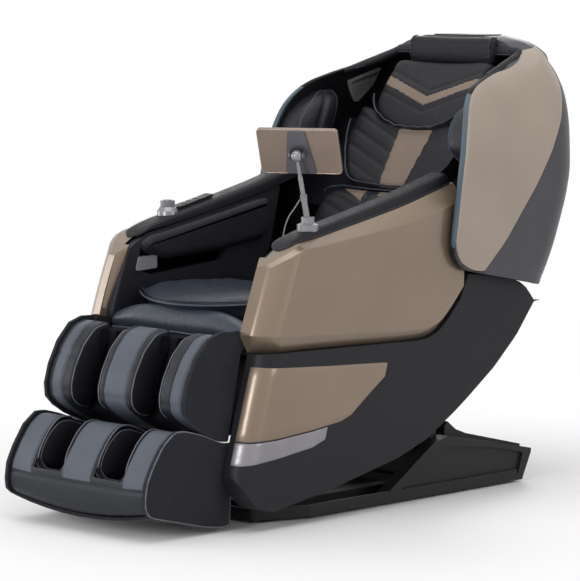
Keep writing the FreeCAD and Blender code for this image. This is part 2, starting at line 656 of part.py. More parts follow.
def knob_floor():
    return between(ARM_TOP, KNOB_XY[1] + STAND_R) + SKIN_GAP


def control_plate():
    x, y = KNOB_XY
    z = knob_floor()
    cone = Part.makeCylinder(STAND_R, 22.0, V(x, y, z))
    cone = joined(cone, Part.makeCone(STAND_R, 20.0, 12.0, V(x, y, z + 22.0)))
    uy, uz = strip_slope()
    foot = (STRIP_Y[0] - 20.0, pad_height(STRIP_Y[0]) - 20.0 * uz / uy + 0.6)
    tip = (STRIP_Y[1], pad_height(STRIP_Y[1]) + 0.6)
    outline = [foot, tip, (tip[0] - uz * 7.0, tip[1] + uy * 7.0), (foot[0] - uz * 9.0, foot[1] + uy * 9.0)]
    strip = prism_x(outline, x - 13.0, x + 13.0)
    plate = joined(cone, strip)
    for row in BUTTON_ROWS:
        plate = plate.cut(button_bar(row, BUTTON_R + 0.4, -4.0, 14.0))
    return plate


def button_bar(row, radius, low, high):
    """A round bar along the strip's normal at this y, from low to high over the pad."""
    uy, uz = strip_slope()
    start = V(KNOB_XY[0], row - uz * low, pad_height(row) + 0.6 + uy * low)
    return Part.makeCylinder(radius, high - low, start, V(0, -uz, uy))


def button(row):
    stem = button_bar(row, BUTTON_R, 2.4, 10.5)
    return stem.makeFillet(1.0, [e for e in stem.Edges if abs(e.Length - 2 * math.pi * BUTTON_R) < 0.5][:1])


def control_knob():
    x, y = KNOB_XY
    z = knob_floor() + 34.0 + SKIN_GAP
    knob = Part.makeCylinder(19.0, 16.0, V(x, y, z))
    count = 24
    cuts = []
    for i in range(count):
        a = 2.0 * math.pi * i / count
        cuts.append(Part.makeCylinder(1.6, 20.0, V(x + 19.6 * math.cos(a), y + 19.6 * math.sin(a), z - 2.0)))
    mark = box(x - 1.0, x + 1.0, y - 16.0, y - 8.0, z + 15.2, z + 17.0)
    return knob.cut(Part.makeCompound(cuts)).cut(mark)


# The hood and the backrest

def back_point(s, t):
    """A (y, z) point s along the backrest and t behind its front face."""
    a = math.radians(BACK_LEAN)
    y = BACK_ORIGIN[0] + s * math.sin(a) + t * math.cos(a)
    z = BACK_ORIGIN[1] + s * math.cos(a) - t * math.sin(a)
    return (y, z)


def back_line(pairs):
    return [back_point(s, t) for s, t in pairs]


HOOD_X = [(520.0, 0.0), (800.0, 0.0), (900.0, -6.0), (950.0, -14.0), (1000.0, -27.0), (1050.0, -50.0),
          (1095.0, -82.0), (1130.0, -114.0), (1160.0, -150.0), (1185.0, -202.0), (1200.0, -262.0)]
HOOD_X_REAR = [(520.0, 0.0), (850.0, 0.0), (950.0, -5.0), (1000.0, -12.0), (1050.0, -26.0), (1095.0, -50.0),
               (1130.0, -78.0), (1160.0, -117.0), (1185.0, -166.0), (1200.0, -232.0)]
HOOD_FRONT = [(520.0, 84.0), (672.0, 84.0), (733.0, 92.0), (816.0, 105.0), (898.0, 124.0), (942.0, 136.0),
              (1009.0, 162.0), (1049.0, 193.0), (1075.0, 232.0), (1095.0, 290.0), (1130.0, 420.0),
              (1160.0, 492.0), (1200.0, 494.0)]
HOOD_REAR = [(520.0, 484.0), (549.0, 493.0), (585.0, 514.0), (648.0, 547.0), (725.0, 579.0), (789.0, 601.0),
             (852.0, 613.0), (1100.0, 618.0), (1160.0, 614.0), (1185.0, 606.0), (1200.0, 584.0)]
HOOD_STEPS = (520.0, 585.0, 648.0, 725.0, 789.0, 852.0, 898.0, 950.0, 1000.0, 1050.0, 1075.0, 1095.0, 1130.0,
              1160.0, 1185.0, 1200.0)
HOOD_CUT = [(60.0, 690.0), (84.0, 668.0), (91.0, 642.0), (107.0, 618.0), (138.0, 601.0), (213.0, 587.0),
            (441.0, 543.0), (500.0, 549.0), (700.0, 549.0), (700.0, 1300.0), (60.0, 1300.0)]
BRONZE = [(60.0, 690.0), (92.0, 666.0), (98.0, 645.0), (112.0, 624.0), (140.0, 608.0), (200.0, 596.0),
          (284.0, 668.0), (347.0, 740.0), (411.0, 813.0), (476.0, 903.0), (520.0, 985.0), (560.0, 1080.0),
          (575.0, 1250.0), (60.0, 1250.0)]


def hood_half_width(z):
    """Half the hood's outer width at its front edge."""
    return HOOD_HALF + between(HOOD_X, z)


def hood_side(y, z):
    """Half the hood's outer width at this place on its flat side."""
    bend = min(110.0, 0.6 * (between(HOOD_REAR, z) - between(HOOD_FRONT, z)))
    start, end = between(HOOD_FRONT, z), between(HOOD_REAR, z) - bend
    share = (y - start) / (end - start)
    narrow = hood_half_width(z)
    return narrow + (HOOD_HALF + between(HOOD_X_REAR, z) - narrow) * min(share, 1.0)


def hood_section(z, wall, front_shift):
    """A closed (x, y) ring of the hood at this height, drawn in by a wall."""
    at_front = between(HOOD_FRONT, z)
    rear = between(HOOD_REAR, z) - wall
    bend = min(110.0 - wall, 0.6 * (rear - at_front))
    x = HOOD_HALF + between(HOOD_X_REAR, z) - wall
    narrow = hood_half_width(z) - wall
    slope = (x - narrow) / (rear - bend - at_front)
    front = at_front + front_shift
    narrow += slope * front_shift
    c = bend * (1.0 - math.sqrt(0.5))
    spots = [V(-narrow, front, z), V(narrow, front, z), V(x, rear - bend, z), V(x - bend, rear, z),
             V(-x + bend, rear, z), V(-x, rear - bend, z)]
    edges = [Part.LineSegment(spots[0], spots[1]).toShape(), Part.LineSegment(spots[1], spots[2]).toShape()]
    edges.append(Part.Arc(spots[2], V(x - c, rear - c, z), spots[3]).toShape())
    edges.append(Part.LineSegment(spots[3], spots[4]).toShape())
    edges.append(Part.Arc(spots[4], V(-x + c, rear - c, z), spots[5]).toShape())
    edges.append(Part.LineSegment(spots[5], spots[0]).toShape())
    return Part.Wire(edges)


def hood_space(wall, front_shift, roof):
    """The hood's outer space drawn in by a wall, under a roof height."""
    steps = [z for z in HOOD_STEPS if z < roof - 4.0] + [roof]
    return loft([hood_section(z, wall, front_shift) for z in steps])


def hood_inner():
    """The room inside the hood: open to the front and below, closed by the roof."""
    return hood_space(HOOD_WALL, -160.0, HOOD_STEPS[-1] - 40.0)


def hood_layers():
    cut = prism_x(HOOD_CUT, -HOOD_HALF - 5.0, HOOD_HALF + 5.0)
    roof = HOOD_STEPS[-1]
    whole = hood_space(0.0, RIM_DEEP, roof).common(cut)
    shell = whole.cut(hood_inner())
    core = hood_space(PANEL_THICK, -20.0, roof - PANEL_THICK)
    skin = whole.cut(core)
    side = box(90.0, HOOD_HALF + 10.0, 0.0, 700.0, 500.0, 1300.0)
    bronze = prism_x(BRONZE, 90.0, HOOD_HALF + 10.0)
    panel = skin.common(bronze).common(side)
    seat = prism_x(inset(BRONZE, -0.5), 89.5, HOOD_HALF + 10.0)
    groove = hood_space(-12.0, -20.0, roof + 3.0)
    groove = groove.cut(hood_space(PANEL_THICK + SKIN_GAP, -20.0, roof - PANEL_THICK - SKIN_GAP))
    groove = groove.common(seat)
    shell = shell.cut(groove).cut(across(groove))
    return shell, panel


def hood_rim():
    rows = []
    for z in (664.0, 700.0, 760.0, 816.0, 860.0, 898.0, 942.0, 980.0, 1009.0, 1049.0, 1075.0, 1092.0):
        x = hood_half_width(z)
        y = between(HOOD_FRONT, z)
        wide = 18.0 if z < 850.0 else RIM_WIDE
        rows.append((z, x - wide, x - 3.0, y, y + RIM_DEEP - SKIN_GAP))
    return stack_z(rows, 5.0)


def shoulder_airbag():
    rows = []
    for z, y0, y1, thick in ((868.0, 192.0, 232.0, 22.0), (884.0, 172.0, 258.0, 60.0), (920.0, 154.0, 290.0, 88.0),
                             (960.0, 160.0, 306.0, 84.0), (1000.0, 186.0, 320.0, 72.0), (1028.0, 222.0, 326.0, 48.0),
                             (1046.0, 258.0, 318.0, 18.0)):
        x = hood_side(y0, z) - HOOD_WALL - SKIN_GAP * 2.0
        rows.append((z, x - thick, x, y0, y1))
    return stack_z(rows, 14.0)


def speaker_grille():
    rows = []
    for z, y0, y1 in ((1010.0, 440.0, 454.0), (1040.0, 410.0, 488.0), (1072.0, 384.0, 500.0), (1104.0, 484.0, 500.0)):
        x = hood_side(y0, z) - HOOD_WALL - SKIN_GAP * 2.0
        rows.append((z, x - 7.0, x, y0, y1))
    return stack_z(rows, 2.0)


def pad_block(s0, s1, half, crown, front=0.0, thick=PAD_THICK):
    """A backrest pad between two places along the slope."""
    outline = back_line([(s0, thick), (s0, front + 10.0), (s0 + 14.0, front), (0.5 * (s0 + s1), front - 5.0),
                         (s1 - 14.0, front), (s1, front + 10.0), (s1, thick)])
    return pillow_x(outline, -half, half, crown, 8.0)


def diagonal_grooves(s0, s1, count, rise, x0, x1, depth):
    """V channels that run outwards and upwards over a backrest pad, on both sides."""
    cuts = []
    for i in range(count):
        s = s0 + (s1 - s0) * i / (count - 1)
        ring = []
        for x, along in ((x0, s), (x1, s + rise)):
            spots = [back_point(along - 5.0, -12.0), back_point(along + 5.0, -12.0), back_point(along, depth)]
            ring.append(Part.makePolygon([V(x, y, z) for y, z in spots + spots[:1]]))
        cuts.append(loft(ring))
    return apart(*cuts, *[across(c) for c in cuts])


def back_pad():
    pad = pad_block(352.0, 530.0, BACK_PAD_HALF, 18.0)
    stripe = [back_line([(s - 4.0, -12.0), (s + 4.0, -12.0), (s, 4.0)]) for s in (380.0, 500.0)]
    pad = pad.cut(diagonal_grooves(372.0, 476.0, 4, 34.0, 40.0, BACK_PAD_HALF - 24.0, 5.0))
    seams = [prism_x(line, -34.0, 34.0) for line in stripe]
    return pad.cut(Part.makeCompound(seams))


def head_pad():
    pad = pad_block(536.0, 738.0, HEAD_HALF, 18.0)
    return pad.cut(diagonal_grooves(600.0, 622.0, 2, 46.0, 4.0, HEAD_HALF - 20.0, 4.0))


def lumbar_pad():
    pad = pad_block(12.0, 346.0, LUMBAR_HALF, 18.0)
    return pad.cut(diagonal_grooves(190.0, 300.0, 3, 40.0, 60.0, LUMBAR_HALF - 24.0, 5.0))


def liner_notch():
    """The corner that the liner leaves open beside the head pad, on one side."""
    line = back_line([(590.0, PAD_THICK - 20.0), (800.0, PAD_THICK - 20.0), (800.0, PAD_THICK + 40.0),
                      (590.0, PAD_THICK + 40.0)])
    return prism_x(line, LINER_TOP_HALF, HOOD_HALF + 5.0)


def back_liner():
    thick = 6.0
    near = PAD_THICK + SKIN_GAP
    low = prism_x(back_line([(8.0, near), (300.0, near), (300.0, near + thick), (8.0, near + thick)]),
                  -LUMBAR_HALF, LUMBAR_HALF)
    high_line = back_line([(299.0, near), (742.0, near), (742.0, near + thick), (299.0, near + thick)])
    high = prism_x(high_line, -HOOD_HALF, HOOD_HALF).cut(across(liner_notch()))
    high = high.cut(liner_notch())
    high = high.common(hood_space(HOOD_WALL + SKIN_GAP, -160.0, HOOD_STEPS[-1] - 41.0))
    return joined(low, high)


RAIL_SPOTS = ((70.0, 149.0), (240.0, 149.0), (410.0, 149.0), (500.0, 149.0), (690.0, 120.0))
WIDE_SPOTS = (410.0, 500.0)


def back_frame():
    outline = back_line([(-60.0, 42.0), (-56.0, 20.0), (-36.0, 9.0), (-12.0, 18.0), (0.0, 70.0), (705.0, 72.0),
                         (715.0, 90.0), (700.0, 136.0), (520.0, 163.0), (60.0, 163.0), (-10.0, 120.0), (-50.0, 62.0)])
    rail = prism_x(outline, RAIL_X, RAIL_X + RAIL_THICK, 6.0)
    pieces = [rail, across(rail), bar_x(BACK_PIVOT, BACK_SHAFT_R, -PLATE_IN - 12.0, PLATE_IN + 12.0)]
    for s, t in RAIL_SPOTS:
        spot = back_point(s, t)
        if s not in WIDE_SPOTS:
            pieces.append(bar_x(spot, 11.0, -RAIL_X - 3.0, RAIL_X + 3.0))
            continue
        wall = hood_side(spot[0], spot[1] + FLANGE_R) - HOOD_WALL - SKIN_GAP
        pieces.append(bar_x(spot, 11.0, -wall + 3.0, wall - 3.0))
        pieces += [bar_x(spot, FLANGE_R, wall - 5.0, wall), bar_x(spot, FLANGE_R, -wall, 5.0 - wall)]
    return joined(*pieces)


FLANGE_R = 24.0
CARRIAGE_S = 300.0
KNEADER = (CARRIAGE_S + 40.0, 92.0)


def massage_carriage():
    outline = back_line([(CARRIAGE_S - 60.0, 88.0), (CARRIAGE_S - 10.0, 88.0), (CARRIAGE_S - 10.0, 126.0),
                         (CARRIAGE_S + 84.0, 126.0), (CARRIAGE_S + 84.0, 136.0), (CARRIAGE_S - 60.0, 136.0)])
    block = prism_x(outline, -120.0, 120.0, 4.0)
    ear_line = back_line([(KNEADER[0] - 20.0, 134.0), (KNEADER[0] - 14.0, 80.0), (KNEADER[0] + 14.0, 80.0),
                          (KNEADER[0] + 20.0, 134.0)])
    ears = [prism_x(ear_line, x - 4.0, x + 4.0, 8.0) for x in (-112.0, 112.0)]
    runners = []
    for s in (CARRIAGE_S - 40.0, CARRIAGE_S + 72.0):
        spot = back_point(s, 128.0)
        arm = bar_x(spot, 7.0, -RAIL_X + 8.0, RAIL_X - 8.0)
        shoe_line = back_line([(s - 16.0, 78.0), (s + 16.0, 78.0), (s + 16.0, 136.0), (s - 16.0, 136.0)])
        shoes = [prism_x(shoe_line, x0, x0 + 14.0, 4.0) for x0 in (-RAIL_X + SKIN_GAP, RAIL_X - 14.0 - SKIN_GAP)]
        runners += [arm] + shoes
    body = joined(block, *ears, *runners)
    return body.cut(bar_x(back_point(*KNEADER), 9.0 + RUNNING_GAP, -130.0, 130.0))


def kneading_shaft():
    centre = back_point(*KNEADER)
    return bar_x(centre, 9.0, -117.0, 117.0)


def kneading_wheels():
    centre = back_point(*KNEADER)
    wheels = []
    for x in (-62.0, 62.0):
        offset = (centre[0] + 5.0, centre[1])
        wheel = bar_x(offset, 27.0, x - 20.0, x + 20.0)
        wheel = wheel.makeFillet(7.0, [e for e in wheel.Edges if abs(e.Length - 2 * math.pi * 27.0) < 1.0])
        wheels.append(wheel.cut(bar_x(centre, 9.0, x - 21.0, x + 21.0)))
    return apart(*wheels)


PILLOW_HALF = 150.0
PILLOW_HINGE = (503.0, 1204.0)


def pillow_strap():
    y, z = PILLOW_HINGE[0] + 3.6, HOOD_STEPS[-1] + SKIN_GAP
    return prism_x([(y, z), (585.0, z), (585.0, z + 3.0), (y, z + 3.0)], -90.0, 90.0)


def head_pillow():
    y, z = PILLOW_HINGE
    outline = [(y - 8.0, z - 82.0), (y - 24.0, z - 76.0), (y - 32.0, z - 50.0), (y - 32.0, z - 14.0),
               (y - 22.0, z - 1.0), (y - 4.0, z), (y + 3.0, z - 6.0), (y + 3.0, z - 70.0)]
    return pillow_x(outline, -PILLOW_HALF, PILLOW_HALF, 8.0, 7.0)


# The leg rest

def leg_offset(point, forward):
    """A (y, z) point moved forwards, square to the leg rest's slope."""
    return (point[0] - forward * 0.98, point[1] + forward * 0.2)


CALF_REAR_TOP = (-588.0, 436.0)
CALF_REAR_LOW = (-631.0, 224.0)
CALF_OUTLINE = [(-618.0, 497.0), (-652.0, 498.0), (-693.0, 485.0), (-734.0, 442.0), (-764.0, 385.0),
                (-778.0, 336.0), (-775.0, 302.0), (-752.0, 278.0), (-712.0, 252.0), (-653.0, 226.0)]
CALF_EYE = [(-577.0, 454.0), (-572.5, 468.0), (-575.0, 482.0), (-586.0, 493.5), (-600.0, 498.0)]
FOOT_OUTLINE = [(-664.0, 206.0), (-724.0, 245.0), (-776.0, 266.0), (-810.0, 267.0), (-850.0, 238.0),
                (-885.0, 187.0), (-905.0, 147.0), (-911.0, 106.0), (-908.0, 80.0), (-890.0, 64.0),
                (-713.0, 20.0), (-672.0, 12.0)]
FOOT_REAR_LOW = (-660.0, 12.0)
FOOT_REAR_TOP = (-645.0, 200.0)


def calf_frame():
    side_line = CALF_OUTLINE + [CALF_REAR_LOW, CALF_REAR_TOP] + CALF_EYE
    x0 = LEG_HALF - LEG_SIDE_THICK
    side = prism_x(side_line, x0, LEG_HALF, 5.0)
    low, top = CALF_REAR_LOW, (CALF_REAR_TOP[0] - 5.0, CALF_REAR_TOP[1] - 24.0)
    plate_line = [low, top, leg_offset(top, 5.0), leg_offset(low, 5.0)]
    plate = prism_x(plate_line, -PLATE_IN + 2.0, PLATE_IN - 2.0)
    half_way = (0.5 * (low[0] + top[0]), 0.5 * (low[1] + top[1]))
    web = prism_x([low, half_way, leg_offset(half_way, 5.0), leg_offset(low, 5.0)], -x0 - 1.0, x0 + 1.0)
    guides = []
    for x in (FOOT_RAIL[0] - 4.0, FOOT_RAIL[1] + SKIN_GAP):
        line = [leg_offset(low, 4.0), leg_offset(half_way, 4.0), leg_offset(half_way, 15.0), leg_offset(low, 15.0)]
        guides.append(prism_x(line, x, x + 4.0 - SKIN_GAP))
    pieces = [side, across(side), plate, web] + guides + [across(g) for g in guides]
    frame = joined(*pieces)
    return frame.cut(bar_x(LEG_PIVOT, LEG_PIN_R + RUNNING_GAP, -LEG_HALF - 1.0, LEG_HALF + 1.0))


FOOT_RAIL = (186.0, 206.0)
CALF_BACK = 19.0


def calf_cushion():
    low, top = leg_offset(CALF_REAR_LOW, CALF_BACK), leg_offset((-598.0, 400.0), CALF_BACK)
    front = [(-650.0, 492.0), (-690.0, 480.0), (-730.0, 438.0), (-760.0, 383.0), (-774.0, 336.0),
             (-770.0, 305.0), (-748.0, 283.0), (-710.0, 258.0)]
    outline = [low, top, (-626.0, 489.0)] + front
    spans = ((-CALF_HALF, -WELL_OUT), (-WELL_IN, WELL_IN), (WELL_OUT, CALF_HALF))
    pads = [pillow_x(outline, x0, x1, 14.0, 10.0) for x0, x1 in spans]
    well = [low, top, (-626.0, 478.0), (-655.0, 468.0), (-674.0, 400.0), (-694.0, 330.0), (-700.0, 268.0)]
    liner = prism_x(well, -CALF_HALF + 30.0, CALF_HALF - 30.0, 6.0)
    return joined(liner, *pads)


def bowed(rows, x):
    """A (y, z) outline from rows of (y, z, share), its low front bowed down towards the middle."""
    bow = FOOT_BOW * (1.0 - (x / LEG_HALF) ** 2)
    return [(y, z - share * bow) for y, z, share in rows]


FOOT_BOW = 28.0
FOOT_SPANS = (-1.0, -0.75, -0.5, -0.25, 0.0, 0.25, 0.5, 0.75, 1.0)


def foot_shell():
    x0 = LEG_HALF - LEG_SIDE_THICK
    side = prism_x(FOOT_OUTLINE + [FOOT_REAR_LOW, FOOT_REAR_TOP], x0, LEG_HALF, 5.0)
    low_y, low_z = FOOT_REAR_LOW
    rows = [(-889.0, 64.0, 1.0), (-713.0, 20.0, 0.35), (low_y, low_z, 0.0), (low_y - 1.0, low_z + 7.0, 0.0),
            (-713.0, 27.0, 0.35), (-887.0, 71.0, 1.0)]
    places = [span * (x0 + 1.0) for span in FOOT_SPANS]
    floor_plate = loft([sharp_wire(bowed(rows, x), on_x(x)) for x in places])
    wall_line = [FOOT_REAR_LOW, FOOT_REAR_TOP, (-651.0, 199.0), (-666.0, 12.5)]
    wall = prism_x(wall_line, -x0 - 1.0, x0 + 1.0)
    tip = (CALF_REAR_TOP[0] - 12.0, CALF_REAR_TOP[1] - 60.0)
    low = leg_offset((CALF_REAR_LOW[0] - 10.0, CALF_REAR_LOW[1] - 50.0), 5.0 + SKIN_GAP)
    high = leg_offset(tip, 5.0 + SKIN_GAP)
    rail_line = [low, high, leg_offset(high, 9.0), leg_offset(low, 9.0)]
    rail = prism_x(rail_line, FOOT_RAIL[0], FOOT_RAIL[1])
    frame = joined(floor_plate, wall)
    frame = joined(frame, rail, across(rail))
    frame = joined(joined(frame, side), across(side))
    return frame.cut(bar_x(FOOT_ROLLER_AT, ROLLER_AXLE_R + RUNNING_GAP, -LEG_HALF - 1.0, LEG_HALF + 1.0))


FOOT_ROLLER_AT = (-782.0, 68.5)


def foot_cushion():
    half = LEG_HALF - LEG_SIDE_THICK - 0.6
    crown = 6.0
    rows = [(-668.0, 204.0, 0.0), (-726.0, 240.0, 0.0), (-777.0, 261.0, 0.0), (-809.0, 262.0, 0.0),
            (-846.0, 234.0, 0.0), (-880.0, 185.0, 0.0), (-900.0, 146.0, 0.1), (-906.0, 106.0, 0.35),
            (-903.0, 86.0, 0.8), (-889.0, 73.0, 1.0), (-713.0, 29.0, 0.35), (-672.0, 22.5, 0.0)]
    wires = []
    for x_end, way in ((-half, 1.0), (half, -1.0)):
        ring = []
        for angle in (0.0, 45.0, 90.0):
            a = math.radians(angle)
            x = x_end + way * crown * (1.0 - math.cos(a))
            ring.append(outline_wire(inset(bowed(rows, x), crown * (1.0 - math.sin(a))), 8.0, on_x(x)))
        if way > 0:
            wires += ring
            wires += [outline_wire(bowed(rows, x), 8.0, on_x(x)) for x in [s * half for s in FOOT_SPANS[1:-1]]]
        else:
            wires += ring[::-1]
    block = loft(wires)
    well = [(-868.0, 112.0), (-884.0, 166.0), (-930.0, 172.0), (-930.0, 330.0), (-640.0, 330.0),
            (-672.0, 214.0), (-690.0, 64.0)]
    wells = [prism_x(well, WELL_IN, WELL_OUT, 12.0), prism_x(well, -WELL_OUT, -WELL_IN, 12.0)]
    y, z = FOOT_ROLLER_AT
    pocket = bar_x(FOOT_ROLLER_AT, FOOT_ROLLER_R + 2.0, WELL_IN + 4.0, WELL_OUT - 4.0)
    drop = box(WELL_IN + 4.0, WELL_OUT - 4.0, y - FOOT_ROLLER_R - 2.0, y + FOOT_ROLLER_R + 2.0, 0.0, z)
    tunnel = bar_x(FOOT_ROLLER_AT, ROLLER_AXLE_R + 1.0, -LEG_HALF, LEG_HALF)
    pockets = [pocket, drop, across(pocket), across(drop), tunnel]
    for tool in wells + pockets:
        block = block.cut(tool)
    return block


def foot_rollers():
    axle = bar_x(FOOT_ROLLER_AT, ROLLER_AXLE_R, -LEG_HALF + 1.0, LEG_HALF - 1.0)
    rolls = []
    for side in (-1.0, 1.0):
        middle = side * (WELL_IN + WELL_OUT) / 2.0
        for i in range(5):
            x = middle + (i - 2) * 18.0
            rolls.append(bar_x(FOOT_ROLLER_AT, FOOT_ROLLER_R, x - 6.0, x + 6.0))
            rolls.append(bar_x(FOOT_ROLLER_AT, FOOT_ROLLER_R - 3.5, x - 9.5, x + 9.5))
    return joined(axle, *rolls)


# The tablet, its stand and its cable

def tablet_axes():
    """Unit vectors along the tablet's width, height and back."""
    turn, lean = math.radians(TABLET_TURN), math.radians(TABLET_LEAN)
    wide = V(math.cos(turn), math.sin(turn), 0)
    away = V(math.sin(turn), -math.cos(turn), 0)
    high = V(0, 0, 1) * math.cos(lean) + away * math.sin(lean)
    return wide, high, wide.cross(high)


def ball_centre():
    """Where the stand carries the tablet."""
    back = tablet_axes()[2]
    return V(*TABLET_CENTRE) + back * (TABLET_SIZE[2] / 2.0 + BRACKET_THICK + BALL_R + 2.0)


def stem_point(share):
    """A point along the leaning stem, from the collar to the ball."""
    foot = V(STAND_XY[0], STAND_XY[1], stand_deck() + 4.0)
    return foot + (ball_centre() - foot) * share


def stem_way():
    return (stem_point(1.0) - stem_point(0.0)).normalize()


def round_bar(start, end, radius):
    return Part.makeCylinder(radius, (end - start).Length, start, end - start)


def tablet_stand():
    x, y = STAND_XY
    z = stand_floor()
    deck = stand_deck()
    flange = Part.makeCylinder(STAND_R, deck - z, V(x, y, z))
    dome = Part.makeCone(STAND_R, 19.0, 4.0, V(x, y, deck))
    collar = Part.makeCylinder(17.0, 16.0, V(x, y, deck + 3.0))
    stages = [(7.5, 0.0, 0.42), (6.0, 0.40, 0.70), (4.5, 0.68, 0.88)]
    stems = [round_bar(stem_point(a), stem_point(b), radius) for radius, a, b in stages]
    ring = round_bar(stem_point(0.33), stem_point(0.41), 8.6)
    spigot = round_bar(stem_point(0.86), ball_centre() - stem_way() * 3.0, SPIGOT_R)
    return joined(flange, dome, collar, ring, spigot, *stems)


def tablet_knuckle():
    """The chrome ball that swivels on the stem and carries two trunnions."""
    centre = ball_centre()
    wide = tablet_axes()[0]
    ball = Part.makeSphere(BALL_R, centre)
    pins = round_bar(centre - wide * (BALL_R + 6.0), centre + wide * (BALL_R + 6.0), SPIGOT_R)
    bore = round_bar(stem_point(0.5), centre - stem_way() * 2.7, SPIGOT_R + RUNNING_GAP)
    return joined(ball, pins).cut(bore)


def slab(centre, sizes, radius):
    """A rounded plate with its width, height and thickness along the tablet's directions."""
    wide, high, back = tablet_axes()
    w, h, t = sizes
    corner = centre - back * (t / 2.0)
    points = [(-w / 2, -h / 2), (w / 2, -h / 2), (w / 2, h / 2), (-w / 2, h / 2)]
    wire = outline_wire(points, radius, lambda a, b: corner + wide * a + high * b)
    return Part.Face(wire).extrude(back * t)


def tablet_case():
    centre = V(*TABLET_CENTRE)
    back = tablet_axes()[2]
    case = slab(centre, TABLET_SIZE, 9.0)
    w, h, t = TABLET_SIZE
    tray = slab(centre - back * (t / 2.0), (w - 6.0, h - 6.0, 5.0), 6.0)
    return case.cut(tray)


def tablet_screen():
    centre = V(*TABLET_CENTRE)
    back = tablet_axes()[2]
    w, h, t = TABLET_SIZE
    return slab(centre - back * (t / 2.0 - 1.3), (w - 7.0, h - 7.0, 2.4), 5.5)


def tablet_bracket():
    """The tapered plate on the tablet's back with two ears round the knuckle's trunnions."""
    wide, high, back = tablet_axes()
    face = V(*TABLET_CENTRE) + back * (TABLET_SIZE[2] / 2.0 + SKIN_GAP)
    half = TABLET_SIZE[1] / 2.0 - 2.0
    points = [(-40.0, -half), (40.0, -half), (22.0, half), (-22.0, half)]
    wire = outline_wire(points, 6.0, lambda a, b: face + wide * a + high * b)
    plate = Part.Face(wire).extrude(back * (BRACKET_THICK - SKIN_GAP))
    centre = ball_centre()
    reach = (centre - face).Length
    ears = []
    for side in (-1.0, 1.0):
        start = centre + wide * (side * (BALL_R + 1.0))
        eye = round_bar(start, start + wide * (side * 4.0), 9.0)
        root = [(-9.0, 0.0), (9.0, 0.0), (9.0, reach), (-9.0, reach)]
        foot = face + wide * (side * (BALL_R + 1.0))
        strap = sharp_wire(root, lambda a, b, foot=foot: foot + high * a + back * b)
        ears += [eye, Part.Face(strap).extrude(wide * (side * 4.0))]
    bores = round_bar(centre - wide * 40.0, centre + wide * 40.0, SPIGOT_R + RUNNING_GAP)
    return joined(plate, *ears).cut(bores)


# The cable from the stand to the arm's inner face lies in a loop on the seat

def grommet_face():
    return stem_point(0.37) + V(-11.0, 0, -1.0)


SOCKET_AT = (ARM_IN - LINING_THICK, -492.0, 602.0)
SOCKET_HIGH = 7.0


def cable_route():
    start = grommet_face()
    lie = SEAT_TOP + CABLE_D / 2.0 + 0.4
    rest = [(243.0, -376.0, 789.0), (219.0, -375.0, 766.0), (206.0, -377.0, 736.0), (203.0, -381.0, 700.0),
            (206.0, -386.0, 661.0), (204.0, -392.0, 622.0), (201.0, -395.0, 587.0), (184.0, -395.0, 563.0),
            (147.0, -381.0, lie), (102.0, -352.0, lie), (58.0, -339.0, lie), (24.0, -354.0, lie),
            (22.0, -388.0, lie), (60.0, -413.0, lie), (104.0, -434.0, lie), (149.0, -462.0, lie),
            (184.0, -484.0, lie + 3.0), (208.0, -493.0, 575.0), (219.0, -493.0, 595.0)]
    end = V(SOCKET_AT[0] - SOCKET_HIGH, SOCKET_AT[1], SOCKET_AT[2])
    return [start] + [V(*p) for p in rest] + [end]


def route_edges(points, note=""):
    """Straight runs joined by tangent arcs as large as their runs allow."""
    runs = [(b - a).Length for a, b in zip(points, points[1:])]
    edges, last, radii = [], points[0], []
    for i in range(1, len(points) - 1):
        here = points[i]
        back, ahead = (points[i - 1] - here).normalize(), (points[i + 1] - here).normalize()
        half = back.getAngle(ahead) / 2.0
        reach = 0.45 * min(runs[i - 1], runs[i])
        radius = reach * math.tan(half)
        radii.append(radius)
        middle = (back + ahead).normalize()
        a, b = here + back * reach, here + ahead * reach
        mid = here + middle * (radius / math.sin(half) - radius)
        edges.append(Part.LineSegment(last, a).toShape())
        edges.append(Part.Arc(a, mid, b).toShape())
        last = b
    edges.append(Part.LineSegment(last, points[-1]).toShape())
    if note:
        print(note, "radii", " ".join("%.0f" % r for r in radii), " length %.1f" % sum(e.Length for e in edges))
    return edges


def round_tube(points, diameter, note=""):
    """A round tube along a route."""
    path = Part.Wire(route_edges(points, note))
    ring = Part.Wire([Part.Circle(points[0], points[1] - points[0], diameter / 2.0).toShape()])
    return path.makePipeShell([ring], True, False)


def tablet_cable():
    return round_tube(cable_route(), CABLE_D, "cable")


def cable_grommet():
    face = grommet_face()
    root = stem_point(0.37)
    start = root + (face - root).normalize() * 8.0
    return round_bar(start, face, 3.4)


def cable_socket():
    x, y, z = SOCKET_AT
    return Part.makeCylinder(6.5, SOCKET_HIGH, V(x - SOCKET_HIGH, y, z), V(1, 0, 0))


